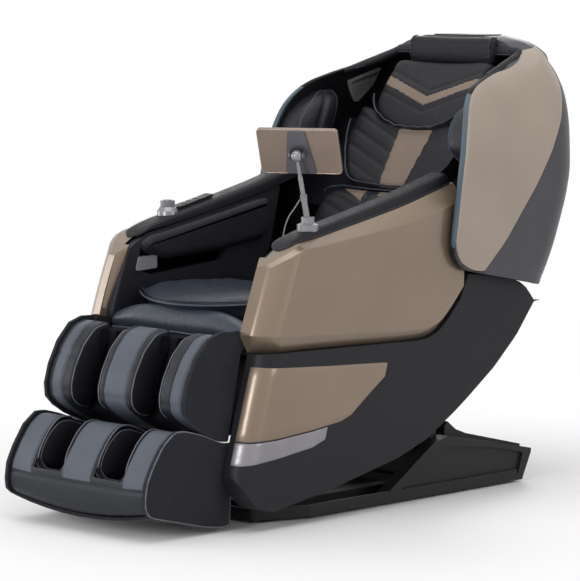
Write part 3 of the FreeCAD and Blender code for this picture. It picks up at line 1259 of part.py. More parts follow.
def main():
    """Builds every piece and writes its file."""
    keep("floor_strips", floor_strips())
    keep("base_shell", base_shell())
    keep("base_frame", base_frame())
    keep("transport_wheel_l", transport_wheel(WHEEL_X))
    keep("transport_wheel_r", transport_wheel(-WHEEL_X))
    keep("wheel_axles", wheel_axles())
    keep("power_inlet", power_inlet())
    keep("power_rocker", power_rocker())
    keep("seat_frame", seat_frame())
    keep("seat_pan", seat_pan())
    keep("seat_cushion", seat_cushion())
    keep("seat_apron", seat_apron())
    side = side_shell()
    keep("side_shell_l", side)
    keep("side_shell_r", across(side))
    keep("lower_panels", both(trim_layer(PANEL_OUTLINE)))
    keep("side_trims", both(trim_layer(TRIM_OUTLINE)))
    keep("rear_cover", rear_cover())
    arm = arm_shell()
    keep("arm_shell_l", arm)
    keep("arm_shell_r", across(arm))
    keep("arm_pad_l", arm_pad(STAND_XY))
    keep("arm_pad_r", across(arm_pad((-KNOB_XY[0], KNOB_XY[1]))))
    bag = arm_airbag()
    keep("arm_airbag_l", bag)
    keep("arm_airbag_r", across(bag))
    keep("hand_blocks", both(hand_block()))
    keep("control_plate", control_plate())
    keep("control_knob", control_knob())
    for number, row in enumerate(BUTTON_ROWS, 1):
        keep("button_%d" % number, button(row))
    shell, panel = hood_layers()
    keep("hood_shell", shell)
    keep("hood_panel_l", panel)
    keep("hood_panel_r", across(panel))
    keep("hood_rims", both(hood_rim()))
    keep("shoulder_airbags", both(shoulder_airbag()))
    keep("speaker_grilles", both(speaker_grille()))
    keep("lumbar_pad", lumbar_pad())
    keep("back_pad", back_pad())
    keep("head_pad", head_pad())
    keep("back_liner", back_liner())
    keep("back_frame", back_frame())
    keep("massage_carriage", massage_carriage())
    keep("kneading_shaft", kneading_shaft())
    keep("kneading_wheels", kneading_wheels())
    keep("pillow_strap", pillow_strap())
    keep("head_pillow", head_pillow())
    keep("calf_frame", calf_frame())
    keep("calf_cushion", calf_cushion())
    keep("foot_shell", foot_shell())
    keep("foot_cushion", foot_cushion())
    keep("foot_rollers", foot_rollers())
    keep("tablet_stand", tablet_stand())
    keep("tablet_knuckle", tablet_knuckle())
    keep("tablet_bracket", tablet_bracket())
    keep("tablet_case", tablet_case())
    keep("tablet_screen", tablet_screen())
    keep("cable_grommet", cable_grommet())
    keep("cable_socket", cable_socket())
    keep("tablet_cable", tablet_cable())
    keep("tilt_gear_motor", gear_motor(TILT_PIVOT, 186.0, 224.7, 34.0, (-1.0, -0.25), TILT_SHAFT_R + SKIN_GAP))
    keep("recline_gear_motor", gear_motor(BACK_PIVOT, 209.0, 245.7, 26.0, (-0.35, -1.0), BACK_SHAFT_R + SKIN_GAP))
    os.makedirs("parts", exist_ok=True)
    for name, shape in PIECES.items():
        good = shape.isValid()
        print("%-20s solids %d  volume %9.0f  %s" % (name, len(shape.Solids), shape.Volume, "ok" if good else "BAD"))
        shape.exportStep("parts/%s.step" % name)


main()
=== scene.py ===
"""Looks of a full-body massage chair: a hooded seat between gloss bronze arms, with calf and foot wells and a
tablet on a stand. Lengths in the classes are millimetres; x is the sitter's left, y runs back and z up."""

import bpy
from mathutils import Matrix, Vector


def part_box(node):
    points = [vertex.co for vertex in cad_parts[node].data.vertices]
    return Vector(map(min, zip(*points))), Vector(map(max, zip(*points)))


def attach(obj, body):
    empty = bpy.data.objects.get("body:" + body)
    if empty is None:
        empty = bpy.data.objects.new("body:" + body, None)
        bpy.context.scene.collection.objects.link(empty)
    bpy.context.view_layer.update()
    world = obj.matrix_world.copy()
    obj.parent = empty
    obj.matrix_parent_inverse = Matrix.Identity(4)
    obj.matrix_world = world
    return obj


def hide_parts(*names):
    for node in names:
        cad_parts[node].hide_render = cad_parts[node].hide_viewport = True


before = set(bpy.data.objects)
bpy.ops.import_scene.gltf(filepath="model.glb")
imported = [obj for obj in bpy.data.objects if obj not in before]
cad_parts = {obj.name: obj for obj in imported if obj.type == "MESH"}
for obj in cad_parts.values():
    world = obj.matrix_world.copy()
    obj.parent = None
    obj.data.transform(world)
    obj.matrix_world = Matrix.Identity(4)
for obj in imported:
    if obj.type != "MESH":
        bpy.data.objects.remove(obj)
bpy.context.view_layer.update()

import logging
import math
from collections.abc import Callable, Sequence
from dataclasses import dataclass
from enum import Enum

import bmesh
import bpy
import numpy as np
from mathutils import Vector

LOG = logging.getLogger("massage_chair")
MM = 0.001
SWELL_FRAMES = 20
REPEAT_SEED = 7
WELL_WALLS = ((60.0, 1), (165.0, -1))
Rows = Sequence[tuple[float, float]]
Line = Sequence[Sequence[float]]
Spot = tuple[float, float, float]
Object = bpy.types.Object
Tree = bpy.types.NodeTree
Socket = bpy.types.NodeSocket


# Curves through tables


def eased(rows: Rows, at: float | np.ndarray) -> np.ndarray:
    """Value of a table at a place, on a curve that never overshoots its rows.

    Args:
        rows: pairs of (place, value), sorted by place.
        at: the place or places to read.

    Returns:
        The values as an array of the same shape as ``at``.
    """
    xs, ys = np.array(rows, float).T[:2]
    at = np.clip(np.asarray(at, float), xs[0], xs[-1])
    step = np.diff(xs)
    rise = np.diff(ys) / step
    slope = np.empty_like(xs)
    slope[0], slope[-1] = rise[0], rise[-1]
    both = rise[:-1] * rise[1:]
    slope[1:-1] = np.where(both > 0, 2 * both / np.where(both > 0, rise[:-1] + rise[1:], 1), 0)
    i = np.clip(np.searchsorted(xs, at, side="right") - 1, 0, len(xs) - 2)
    t = (at - xs[i]) / step[i]
    a, b, c, d = 2 * t**3 - 3 * t**2 + 1, t**3 - 2 * t**2 + t, -2 * t**3 + 3 * t**2, t**3 - t**2
    return a * ys[i] + b * step[i] * slope[i] + c * ys[i + 1] + d * step[i] * slope[i + 1]


def straight(rows: Rows, at: float | np.ndarray) -> np.ndarray:
    """Value of a table at a place, on straight lines between its rows."""
    xs, ys = np.array(rows, float).T[:2]
    return np.interp(at, xs, ys)


def rounded(points: Line, radius: float, closed: bool = True, steps: int = 4,
            hold: Sequence[int] = ()) -> np.ndarray:
    """A line with its corners turned into short curves.

    Args:
        points: the corners, in two or three dimensions.
        radius: how far from each corner its curve starts.
        closed: whether the line returns to its first point.
        steps: spans in each corner's curve.
        hold: numbers of corners that stay as they are.

    Returns:
        The points of the new line.
    """
    p = np.array(points, float)
    count, out = len(p), []
    for i in range(count):
        if i in hold or (not closed and i in (0, count - 1)):
            out.append(p[i])
            continue
        before, after = p[i - 1], p[(i + 1) % count]
        a, b = before - p[i], after - p[i]
        la, lb = np.linalg.norm(a), np.linalg.norm(b)
        start, end = p[i] + a / la * min(radius, 0.45 * la), p[i] + b / lb * min(radius, 0.45 * lb)
        for k in range(steps + 1):
            t = k / steps
            out.append((1 - t) ** 2 * start + 2 * t * (1 - t) * p[i] + t**2 * end)
    return np.array(out)


def evenly(points: Line, count: int, closed: bool = False) -> np.ndarray:
    """The same line with its points spaced evenly along it."""
    p = np.array(points, float)
    if closed:
        p = np.vstack([p, p[:1]])
    along = np.concatenate([[0], np.cumsum(np.linalg.norm(np.diff(p, axis=0), axis=1))])
    at = np.linspace(0, along[-1], count + 1 if closed else count)
    out = np.stack([np.interp(at, along, p[:, k]) for k in range(p.shape[1])], -1)
    return out[:-1] if closed else out


def ringed(points: Line, radius: float, count: int) -> np.ndarray:
    """A closed outline with rounded corners and evenly spaced points."""
    return evenly(rounded(points, radius), count, closed=True)


def at_x(line: Line, x: float) -> np.ndarray:
    """A (y, z) line as points in the plane at x."""
    return np.insert(np.asarray(line, float), 0, x, axis=1)


def circle(count: int) -> np.ndarray:
    """Angles spaced evenly round a circle."""
    return np.linspace(0, 2 * np.pi, count + 1)[:-1]


def stations(x0: float, x1: float, crown: float, steps: int, count: int) -> tuple[np.ndarray, np.ndarray]:
    """Places across a pad whose two ends are rounded, and how far its outline is drawn in at each.

    Args:
        x0: one end of the pad.
        x1: the other end.
        crown: the radius of both ends.
        steps: places in each rounded end.
        count: places between the ends, with their first and last.

    Returns:
        The places and the distances.
    """
    turns = np.linspace(0, np.pi / 2, steps)
    rise, fall = crown * np.sin(turns), crown * (1 - np.cos(turns))
    places = np.concatenate([x0 + fall, np.linspace(x0 + crown, x1 - crown, count)[1:-1], x1 - crown + rise])
    return places, np.concatenate([crown - rise, np.zeros(count - 2), fall])


def letter(side: int) -> str:
    """A side's letter in the names of pieces."""
    return "l" if side > 0 else "r"


# Finishes


class Grain(Enum):
    """What a surface is made of."""

    LEATHER = "leather"
    WEAVE = "weave"
    GLOSS = "gloss"
    MOULDED = "moulded"
    BRUSHED = "brushed"
    GLASS = "glass"


def node(tree: Tree, kind: str, links: dict | None = None, **settings: object) -> bpy.types.Node:
    """Adds a node and wires or sets its inputs.

    Args:
        tree: the node tree that gets the node.
        kind: the node's type name.
        links: input name or number to an output socket or a plain value.
        settings: attributes of the node itself.

    Returns:
        The new node.
    """
    made = tree.nodes.new(kind)
    for name, value in settings.items():
        setattr(made, name, value)
    for name, value in (links or {}).items():
        if isinstance(value, Socket):
            tree.links.new(value, made.inputs[name])
        else:
            made.inputs[name].default_value = value
    return made


@dataclass(frozen=True)
class Finish:
    """One finish: its colour as seen, its gloss and the grain that breaks it up."""

    name: str
    colour: tuple[int, int, int]
    grain: Grain
    rough: float = 0.5
    metal: float = 0.0
    coat: float = 0.0
    sheen: float = 0.0
    relief: float = 1.0
    spread: float = 0.10
    wear: float = 0.0
    specular: float = 0.5

    def linear(self, share: float = 1.0) -> tuple[float, float, float, float]:
        """The colour in linear light, made lighter or darker by a share."""
        made = [((c / 255 + 0.055) / 1.055) ** 2.4 if c > 10 else c / 255 / 12.92 for c in self.colour]
        return (*[min(1.0, c * share) for c in made], 1.0)

    def material(self) -> bpy.types.Material:
        """The node material of this finish, made once."""
        name = f"{self.name}_finish"
        found = bpy.data.materials.get(name)
        if found:
            return found
        made = bpy.data.materials.new(name)
        made.use_nodes = True
        tree = made.node_tree
        tree.nodes.clear()
        place = node(tree, "ShaderNodeTexCoord").outputs["Object"]
        base, rough, normal = getattr(self, f"_{self.grain.value}")(tree, place)
        shader = node(tree, "ShaderNodeBsdfPrincipled", {
            "Base Color": base, "Roughness": rough, "Normal": normal, "Metallic": self.metal,
            "Coat Weight": self.coat, "Coat Roughness": 0.04, "Sheen Weight": self.sheen,
            "Sheen Roughness": 0.45, "Specular IOR Level": self.specular})
        node(tree, "ShaderNodeOutputMaterial", {"Surface": shader.outputs[0]})
        made.diffuse_color = self.linear()
        return made

    def _noise(self, tree: Tree, place: Socket, scale: float, detail: float = 2.0,
               stretch: Spot | None = None) -> Socket:
        """A noise value, on coordinates that may be stretched."""
        if stretch:
            place = node(tree, "ShaderNodeMapping", {"Vector": place, "Scale": stretch}).outputs[0]
        return node(tree, "ShaderNodeTexNoise", {"Vector": place, "Scale": scale, "Detail": detail}).outputs[0]

    def _range(self, tree: Tree, value: Socket, low: float, high: float,
               start: float = 0.3, end: float = 0.7) -> Socket:
        """The value, read from start to end, turned into a number from low to high."""
        return node(tree, "ShaderNodeMapRange", {
            "Value": value, "From Min": start, "From Max": end, "To Min": low, "To Max": high}).outputs[0]

    def _tone(self, tree: Tree, value: Socket) -> Socket:
        """The colour varied by a value, and lighter along edges that hands and cloth rub."""
        share = self._range(tree, value, 0.0, 1.0)
        tone = node(tree, "ShaderNodeMix", {0: share, 6: self.linear(1 - self.spread),
                                            7: self.linear(1 + self.spread)}, data_type="RGBA").outputs[2]
        if not self.wear:
            return tone
        edge = node(tree, "ShaderNodeNewGeometry").outputs["Pointiness"]
        rub = self._range(tree, edge, 0.0, self.wear, 0.53, 0.62)
        return node(tree, "ShaderNodeMix", {0: rub, 6: tone, 7: self.linear(2.2)}, data_type="RGBA").outputs[2]

    def _bump(self, tree: Tree, height: Socket, deep: float,
              under: Socket | None = None) -> Socket:
        """A bumped normal, deep in millimetres, over another one if given."""
        links = {"Height": height, "Distance": deep * MM * self.relief, "Strength": 1.0}
        if under:
            links["Normal"] = under
        return node(tree, "ShaderNodeBump", links).outputs[0]

    def _leather(self, tree: Tree, place: Socket) -> tuple:
        """Leather: pores, soft creases and a sheen that changes where it is handled."""
        cloud, crease = self._noise(tree, place, 9, 3), self._noise(tree, place, 70, 4)
        pores = node(tree, "ShaderNodeTexVoronoi", {"Vector": place, "Scale": 520.0},
                     feature="DISTANCE_TO_EDGE").outputs["Distance"]
        pore = self._range(tree, pores, 0.0, 1.0, 0.0, 0.14)
        normal = self._bump(tree, pore, 0.07, self._bump(tree, crease, 0.3))
        return self._tone(tree, cloud), self._range(tree, crease, self.rough - 0.07, self.rough + 0.09), normal

    def _weave(self, tree: Tree, place: Socket) -> tuple:
        """Woven cloth: two crossing threads and a soft mottle."""
        warp = node(tree, "ShaderNodeTexWave", {"Vector": place, "Scale": 210.0, "Distortion": 0.6},
                    bands_direction="DIAGONAL").outputs["Color"]
        turned = node(tree, "ShaderNodeMapping", {"Vector": place, "Scale": (1, -1, 0.2)}).outputs[0]
        weft = node(tree, "ShaderNodeTexWave", {"Vector": turned, "Scale": 210.0, "Distortion": 0.6},
                    bands_direction="DIAGONAL").outputs["Color"]
        cross = node(tree, "ShaderNodeMath", {0: warp, 1: weft}, operation="MAXIMUM").outputs[0]
        cloud = self._noise(tree, place, 14, 3)
        mottle = node(tree, "ShaderNodeMath", {0: cloud, 1: self._range(tree, cross, -0.12, 0.12, 0, 1)}).outputs[0]
        normal = self._bump(tree, cross, 0.35, self._bump(tree, self._noise(tree, place, 55, 3), 0.8))
        return self._tone(tree, mottle), self._range(tree, cloud, self.rough - 0.05, self.rough + 0.05), normal

    def _gloss(self, tree: Tree, place: Socket) -> tuple:
        """Gloss paint: fine flake, faint orange peel and rub marks."""
        flake = node(tree, "ShaderNodeTexVoronoi", {"Vector": place, "Scale": 1500.0}).outputs["Distance"]
        cloud = self._noise(tree, place, 5, 2)
        mixed = node(tree, "ShaderNodeMath", {0: cloud, 1: self._range(tree, flake, -0.06, 0.06, 0, 1)}).outputs[0]
        rub = self._noise(tree, place, 26, 5, (1, 0.25, 1))
        normal = self._bump(tree, self._noise(tree, place, 160, 2), 0.012)
        return self._tone(tree, mixed), self._range(tree, rub, self.rough - 0.03, self.rough + 0.06), normal

    def _moulded(self, tree: Tree, place: Socket) -> tuple:
        """Moulded plastic or rubber: a fine spark-eroded grain with faint flow marks."""
        grain, cloud = self._noise(tree, place, 1300, 2), self._noise(tree, place, 11, 4, (1, 1, 0.4))
        normal = self._bump(tree, grain, 0.05, self._bump(tree, cloud, 0.25))
        return self._tone(tree, cloud), self._range(tree, cloud, self.rough - 0.06, self.rough + 0.08), normal

    def _brushed(self, tree: Tree, place: Socket) -> tuple:
        """Metal with fine lines round it and a cloudy polish."""
        lines, cloud = self._noise(tree, place, 60, 4, (1, 1, 30)), self._noise(tree, place, 18, 3)
        normal = self._bump(tree, lines, 0.02)
        return self._tone(tree, cloud), self._range(tree, lines, self.rough - 0.05, self.rough + 0.08), normal

    def _glass(self, tree: Tree, place: Socket) -> tuple:
        """Dark glass with the smears of fingers."""
        smear = self._noise(tree, place, 22, 4, (1, 2.2, 1))
        normal = self._bump(tree, self._noise(tree, place, 8, 1), 0.01)
        return self._tone(tree, smear), self._range(tree, smear, self.rough, self.rough + 0.12), normal


BRONZE = Finish("bronze_gloss_paint", (133, 116, 100), Grain.GLOSS, 0.31, 0.5, 0.4, spread=0.05, specular=0.3)
BRONZE_SATIN = Finish("bronze_satin_paint", (160, 146, 134), Grain.GLOSS, 0.40, 0.3, 0.2, spread=0.05, specular=0.3)
HOOD_DARK = Finish("hood_dark_paint", (70, 70, 75), Grain.MOULDED, 0.42, relief=0.5, specular=0.3)
BODY_DARK = Finish("body_dark_plastic", (34, 34, 39), Grain.MOULDED, 0.46, relief=0.7, wear=0.1, specular=0.2)
BASE_DARK = Finish("base_black_plastic", (31, 31, 32), Grain.MOULDED, 0.50, wear=0.15, spread=0.15, specular=0.25)
# Black plastic for inner faces, slots and holes; on the tops of the hood's rim strips the same finish is painted shade.
INNER_DARK_AND_SHADE = Finish("inner_black_plastic", (19, 19, 21), Grain.MOULDED, 0.55, specular=0.12)
SILVER = Finish("silver_trim_paint", (138, 135, 139), Grain.BRUSHED, 0.34, 0.6, 0.1, spread=0.06)
NAVY = Finish("navy_leather", (25, 28, 36), Grain.LEATHER, 0.42, spread=0.14, wear=0.12, specular=0.28)
SEAT_NAVY = Finish("seat_navy_leather", (40, 45, 55), Grain.LEATHER, 0.42, spread=0.14, wear=0.12, specular=0.28)
NAVY_GLOSS = Finish("navy_gloss_leather", (58, 65, 76), Grain.LEATHER, 0.30, coat=0.15, relief=0.6, specular=0.3)
CHARCOAL = Finish("charcoal_leather", (25, 25, 30), Grain.LEATHER, 0.48, spread=0.12, wear=0.1, specular=0.22)
BAND_GREY = Finish("band_grey_leather", (84, 89, 99), Grain.LEATHER, 0.46, spread=0.09, wear=0.12, specular=0.25)
BRONZE_HIDE = Finish("bronze_leather", (124, 109, 97), Grain.LEATHER, 0.44, spread=0.07, relief=0.6, specular=0.25)
FABRIC = Finish("charcoal_fabric", (38, 39, 45), Grain.WEAVE, 0.85, sheen=0.1, spread=0.16, specular=0.12)
BLACK_FABRIC = Finish("black_fabric", (18, 18, 24), Grain.WEAVE, 0.8, spread=0.16, specular=0.1)
BAG_BLACK = Finish("airbag_black_leather", (40, 40, 46), Grain.LEATHER, 0.42, spread=0.14, wear=0.08, specular=0.22)
RIM_BLUE = Finish("rim_blue_paint", (82, 96, 107), Grain.MOULDED, 0.38, relief=0.5, specular=0.25)
PIPING = Finish("piping_grey", (108, 110, 118), Grain.LEATHER, 0.45, relief=0.5, specular=0.25)
PIPING_BLUE = Finish("piping_blue_grey", (66, 74, 86), Grain.LEATHER, 0.42, relief=0.5, specular=0.25)
PIPING_NAVY = Finish("piping_navy", (38, 41, 51), Grain.LEATHER, 0.40, relief=0.5, specular=0.3)
THREAD = Finish("thread_grey", (84, 86, 94), Grain.WEAVE, 0.7, specular=0.1)
THREAD_DARK = Finish("thread_navy", (56, 59, 72), Grain.WEAVE, 0.7, specular=0.1)
BLACK_GLOSS = Finish("black_gloss_plastic", (20, 20, 22), Grain.GLOSS, 0.14, coat=0.6, spread=0.05)
BUTTON = Finish("button_grey_plastic", (140, 140, 146), Grain.MOULDED, 0.35, relief=0.3)
RUBBER = Finish("roller_rubber", (50, 52, 58), Grain.MOULDED, 0.72, relief=1.2, specular=0.2)
FLOOR_RUBBER = Finish("floor_strip_rubber", (26, 26, 26), Grain.MOULDED, 0.85, relief=1.6, specular=0.2)
WHEEL = Finish("wheel_plastic", (36, 36, 38), Grain.MOULDED, 0.5, wear=0.3, specular=0.25)
STEEL = Finish("bright_steel", (168, 168, 171), Grain.BRUSHED, 0.28, 1.0, spread=0.06)
CHROME = Finish("stand_chrome", (138, 137, 141), Grain.BRUSHED, 0.25, 0.4, relief=0.3, spread=0.10)
BLACK_STEEL = Finish("powder_coated_steel", (32, 32, 34), Grain.MOULDED, 0.55, relief=2.0, wear=0.3, specular=0.25)
MOTOR = Finish("motor_steel", (84, 84, 88), Grain.BRUSHED, 0.42, 0.6)
SPEAKER = Finish("speaker_grey_paint", (205, 203, 208), Grain.BRUSHED, 0.40, 0.3, relief=0.5)
BRACKET = Finish("bracket_grey_paint", (92, 90, 97), Grain.BRUSHED, 0.40, 0.45, relief=0.5)
TABLET = Finish("tablet_bronze_metal", (138, 122, 111), Grain.BRUSHED, 0.36, 0.5, relief=0.5, spread=0.05)
TABLET_EDGE = Finish("tablet_edge_metal", (196, 182, 165), Grain.BRUSHED, 0.25, 0.8)
SCREEN = Finish("screen_glass", (18, 18, 21), Grain.GLASS, 0.06, coat=0.8)
CABLE_GREY = Finish("cable_grey_jacket", (150, 150, 154), Grain.MOULDED, 0.45, relief=0.4)


# Meshes


class Shape:
    """A mesh in the making, in millimetres, with a finish for each of its faces."""

    def __init__(self, name: str, *looks: Finish) -> None:
        """Starts an empty mesh that knows its name and finishes."""
        self.name, self.looks = name, looks
        self.points: list[np.ndarray] = []
        self.faces: list[tuple[int, ...]] = []
        self.face_looks: list[int] = []
        self.count = 0

    def _take(self, points: np.ndarray) -> int:
        """Adds points and returns the number of the first."""
        first = self.count
        self.points.append(np.asarray(points, float).reshape(-1, 3))
        self.count += len(self.points[-1])
        return first

    def grid(self, rows: Sequence[np.ndarray], look: int | np.ndarray = 0, wrap: bool = False) -> int:
        """Adds a sheet of quads.

        Args:
            rows: points as (rows, columns, 3).
            look: the finish's number, for all faces or as an array of (rows - 1, columns).
            wrap: whether each row closes on itself.

        Returns:
            The number of the sheet's first point.
        """
        rows = np.asarray(rows, float)
        n, m = rows.shape[:2]
        first = self._take(rows)
        for i in range(n - 1):
            for j in range(m if wrap else m - 1):
                k = (j + 1) % m
                self.faces.append((first + i * m + j, first + i * m + k, first + (i + 1) * m + k,
                                   first + (i + 1) * m + j))
                self.face_looks.append(int(look[i, j]) if isinstance(look, np.ndarray) else look)
        return first

    def loft(self, rings: Sequence[np.ndarray], look: int | np.ndarray = 0, caps: bool = True) -> "Shape":
        """Adds a closed skin over rings of the same number of points, with its ends filled."""
        rings = np.asarray(rings, float)
        first = self.grid(rings, look, wrap=True)
        n, m = rings.shape[:2]
        if caps:
            end_look = look if isinstance(look, int) else int(look[0, 0])
            self.faces += [tuple(range(first, first + m)), tuple(range(first + (n - 1) * m, first + n * m))[::-1]]
            self.face_looks += [end_look, end_look]
        return self

    def block(self, line: Line, x0: float, x1: float, look: int = 0, edge: float = 1.5) -> "Shape":
        """Adds a closed (y, z) outline drawn out from x0 to x1, its two rims rounded by edge."""
        p = np.array(line, float)
        small, third = shrunk(p, edge), shrunk(p, edge * 0.3)
        rings = ((x0, small), (x0 + edge * 0.3, third), (x0 + edge, p),
                 (x1 - edge, p), (x1 - edge * 0.3, third), (x1, small))
        return self.loft([at_x(ring, x) for x, ring in rings], look)

    def tube(self, path: Line, radius: float | np.ndarray, look: int = 0, closed: bool = False,
             sides: int = 8) -> "Shape":
        """Adds a round bar along a line.

        Args:
            path: the line's points.
            radius: one radius, or one for each point.
            look: the finish's number.
            closed: whether the line returns to its start.
            sides: how many sides the bar has.

        Returns:
            This shape.
        """
        p = np.array(path, float)
        gap = np.linalg.norm(np.diff(p, axis=0), axis=1)
        p = p[np.concatenate([[True], gap > 1e-6])]
        ahead, behind = np.roll(p, -1, 0), np.roll(p, 1, 0)
        if not closed:
            ahead[-1], behind[0] = p[-1], p[0]
        way = ahead - behind
        way /= np.linalg.norm(way, axis=1)[:, None] + 1e-12
        up = np.array([0.0, 0.0, 1.0]) if abs(way[0, 2]) < 0.9 else np.array([0.0, 1.0, 0.0])
        rings, size = [], np.broadcast_to(np.asarray(radius, float), (len(p),))
        turns = circle(sides)
        for i in range(len(p)):
            up = up - way[i] * (up @ way[i])
            up /= np.linalg.norm(up) + 1e-12
            side = np.cross(way[i], up)
            rings.append(p[i] + size[i] * (np.cos(turns)[:, None] * up + np.sin(turns)[:, None] * side))
        if closed:
            first = self.grid(rings, look, wrap=True)
            last = first + (len(p) - 1) * sides
            lag = int(np.argmin([np.linalg.norm(np.roll(rings[0], -k, 0) - rings[-1]) for k in range(sides)]))
            for j in range(sides):
                k = (j + 1) % sides
                self.faces.append((last + j, last + k, first + (k + lag) % sides, first + (j + lag) % sides))
                self.face_looks.append(look)
            return self
        return self.loft(rings, look)

    def both(self) -> "Shape":
        """Adds this shape's mirror image across the middle."""
        points = np.vstack(self.points) * (-1.0, 1.0, 1.0)
        first, count = self._take(points), len(self.faces)
        for i in range(count):
            self.faces.append(tuple(first + k for k in self.faces[i][::-1]))
            self.face_looks.append(self.face_looks[i])
        return self

    def made(self, side: int = 1, sharp: float = 40.0) -> Object:
        """The finished mesh object, on the left (1) or mirrored to the right (-1).

        Args:
            side: 1 as drawn, -1 mirrored across the middle.
            sharp: edges that turn by more than these degrees stay crisp.

        Returns:
            The object, linked to the scene.
        """
        data = bpy.data.meshes.new(self.name)
        points = np.vstack(self.points) * (MM * side, MM, MM)
        data.from_pydata(points.tolist(), [], self.faces)
        for i, look in enumerate(self.face_looks):
            data.polygons[i].material_index = look
        work = bmesh.new()
        work.from_mesh(data)
        bmesh.ops.remove_doubles(work, verts=work.verts, dist=2e-6)
        bmesh.ops.dissolve_degenerate(work, edges=work.edges, dist=1e-6)
        bmesh.ops.recalc_face_normals(work, faces=work.faces)
        work.to_mesh(data)
        work.free()
        for look in self.looks:
            data.materials.append(look.material())
        smoothed(data, sharp)
        return linked(self.name, data)


def smoothed(data: bpy.types.Mesh, sharp: float) -> None:
    """Shades a mesh smooth but for edges that turn by more than these degrees."""
    data.shade_smooth()
    data.set_sharp_from_angle(angle=math.radians(sharp))


def linked(name: str, data: bpy.types.ID) -> Object:
    """A new object in the scene."""
    made = bpy.data.objects.new(name, data)
    bpy.context.scene.collection.objects.link(made)
    return made


def coated(piece: Object, looks: Sequence[bpy.types.Material]) -> None:
    """Gives a piece these materials in place of its own."""
    piece.data.materials.clear()
    for look in looks:
        piece.data.materials.append(look)


def shrunk(line: np.ndarray, by: float | np.ndarray) -> np.ndarray:
    """A closed (y, z) outline drawn inwards by a distance, or by one for each point."""
    p = np.array(line, float)
    area = 0.5 * np.sum(p[:, 0] * np.roll(p[:, 1], -1) - np.roll(p[:, 0], -1) * p[:, 1])
    edge = np.roll(p, -1, 0) - p
    edge /= np.linalg.norm(edge, axis=1)[:, None] + 1e-9
    normal = np.column_stack([-edge[:, 1], edge[:, 0]]) * (1 if area > 0 else -1)
    mean = normal + np.roll(normal, 1, 0)
    mean /= np.maximum((mean * normal).sum(1), 0.6)[:, None]
    return p + mean * np.reshape(by, (-1, 1))


def settle(piece: Object) -> Object:
    """Turns a piece's modifiers into plain mesh."""
    seen = piece.evaluated_get(bpy.context.evaluated_depsgraph_get())
    data = bpy.data.meshes.new_from_object(seen)
    piece.modifiers.clear()
    old, piece.data = piece.data, data
    bpy.data.meshes.remove(old)
    return piece


def place(piece: Object, body: str, slot: str, *nodes: str, fill: float | None = None) -> Object:
    """Lets a piece ride on its body and stand for its CAD nodes, which it hides, and reports it.

    Args:
        piece: the finished mesh.
        body: the CAD body that it rides on.
        slot: the name of a material slot; not used.
        nodes: the CAD nodes that it stands for.
        fill: how full it is, from 0 to 1, if it is padded; not used.

    Returns:
        The same piece.
    """
    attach(piece, body)
    if nodes:
        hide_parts(*nodes)
    LOG.info("%s: %d faces on %s", piece.name, len(piece.data.polygons), body)
    return piece


def puffed(piece: Object, cap: float, voxel: float = 5.0, pressure: float = 4.0) -> Object:
    """Swells a padded cover by a cloth simulation and keeps the result.

    Args:
        piece: a closed mesh, slightly smaller than the finished pad.
        cap: how far a point may move, in millimetres.
        voxel: the size of the cover's weave of faces.
        pressure: the air inside.

    Returns:
        The same piece with its swollen mesh.
    """
    remesh = piece.modifiers.new("cover", "REMESH")
    remesh.mode, remesh.voxel_size = "VOXEL", voxel * MM
    looks = list(piece.data.materials)
    settle(piece)
    coated(piece, looks)
    start = np.array([v.co for v in piece.data.vertices])
    cloth = piece.modifiers.new("swell", "CLOTH")
    cloth.settings.use_pressure, cloth.settings.uniform_pressure_force = True, pressure
    cloth.settings.effector_weights.gravity = 0.0
    cloth.settings.quality = 4
    scene = bpy.context.scene
    scene.frame_end = SWELL_FRAMES
    for number in range(1, SWELL_FRAMES + 1):
        scene.frame_set(number)
        bpy.context.view_layer.update()
    settle(piece)
    scene.frame_set(1)
    end = np.array([v.co for v in piece.data.vertices])
    step = end - start
    far = np.linalg.norm(step, axis=1)[:, None]
    end = start + step * np.minimum(1.0, cap * MM / np.maximum(far, 1e-9))
    piece.data.vertices.foreach_set("co", end.astype(np.float32).ravel())
    smooth = piece.modifiers.new("skin", "SUBSURF")
    smooth.levels = smooth.render_levels = 1
    settle(piece)
    piece.data.shade_smooth()
    return piece


# What repeats, as Geometry Nodes


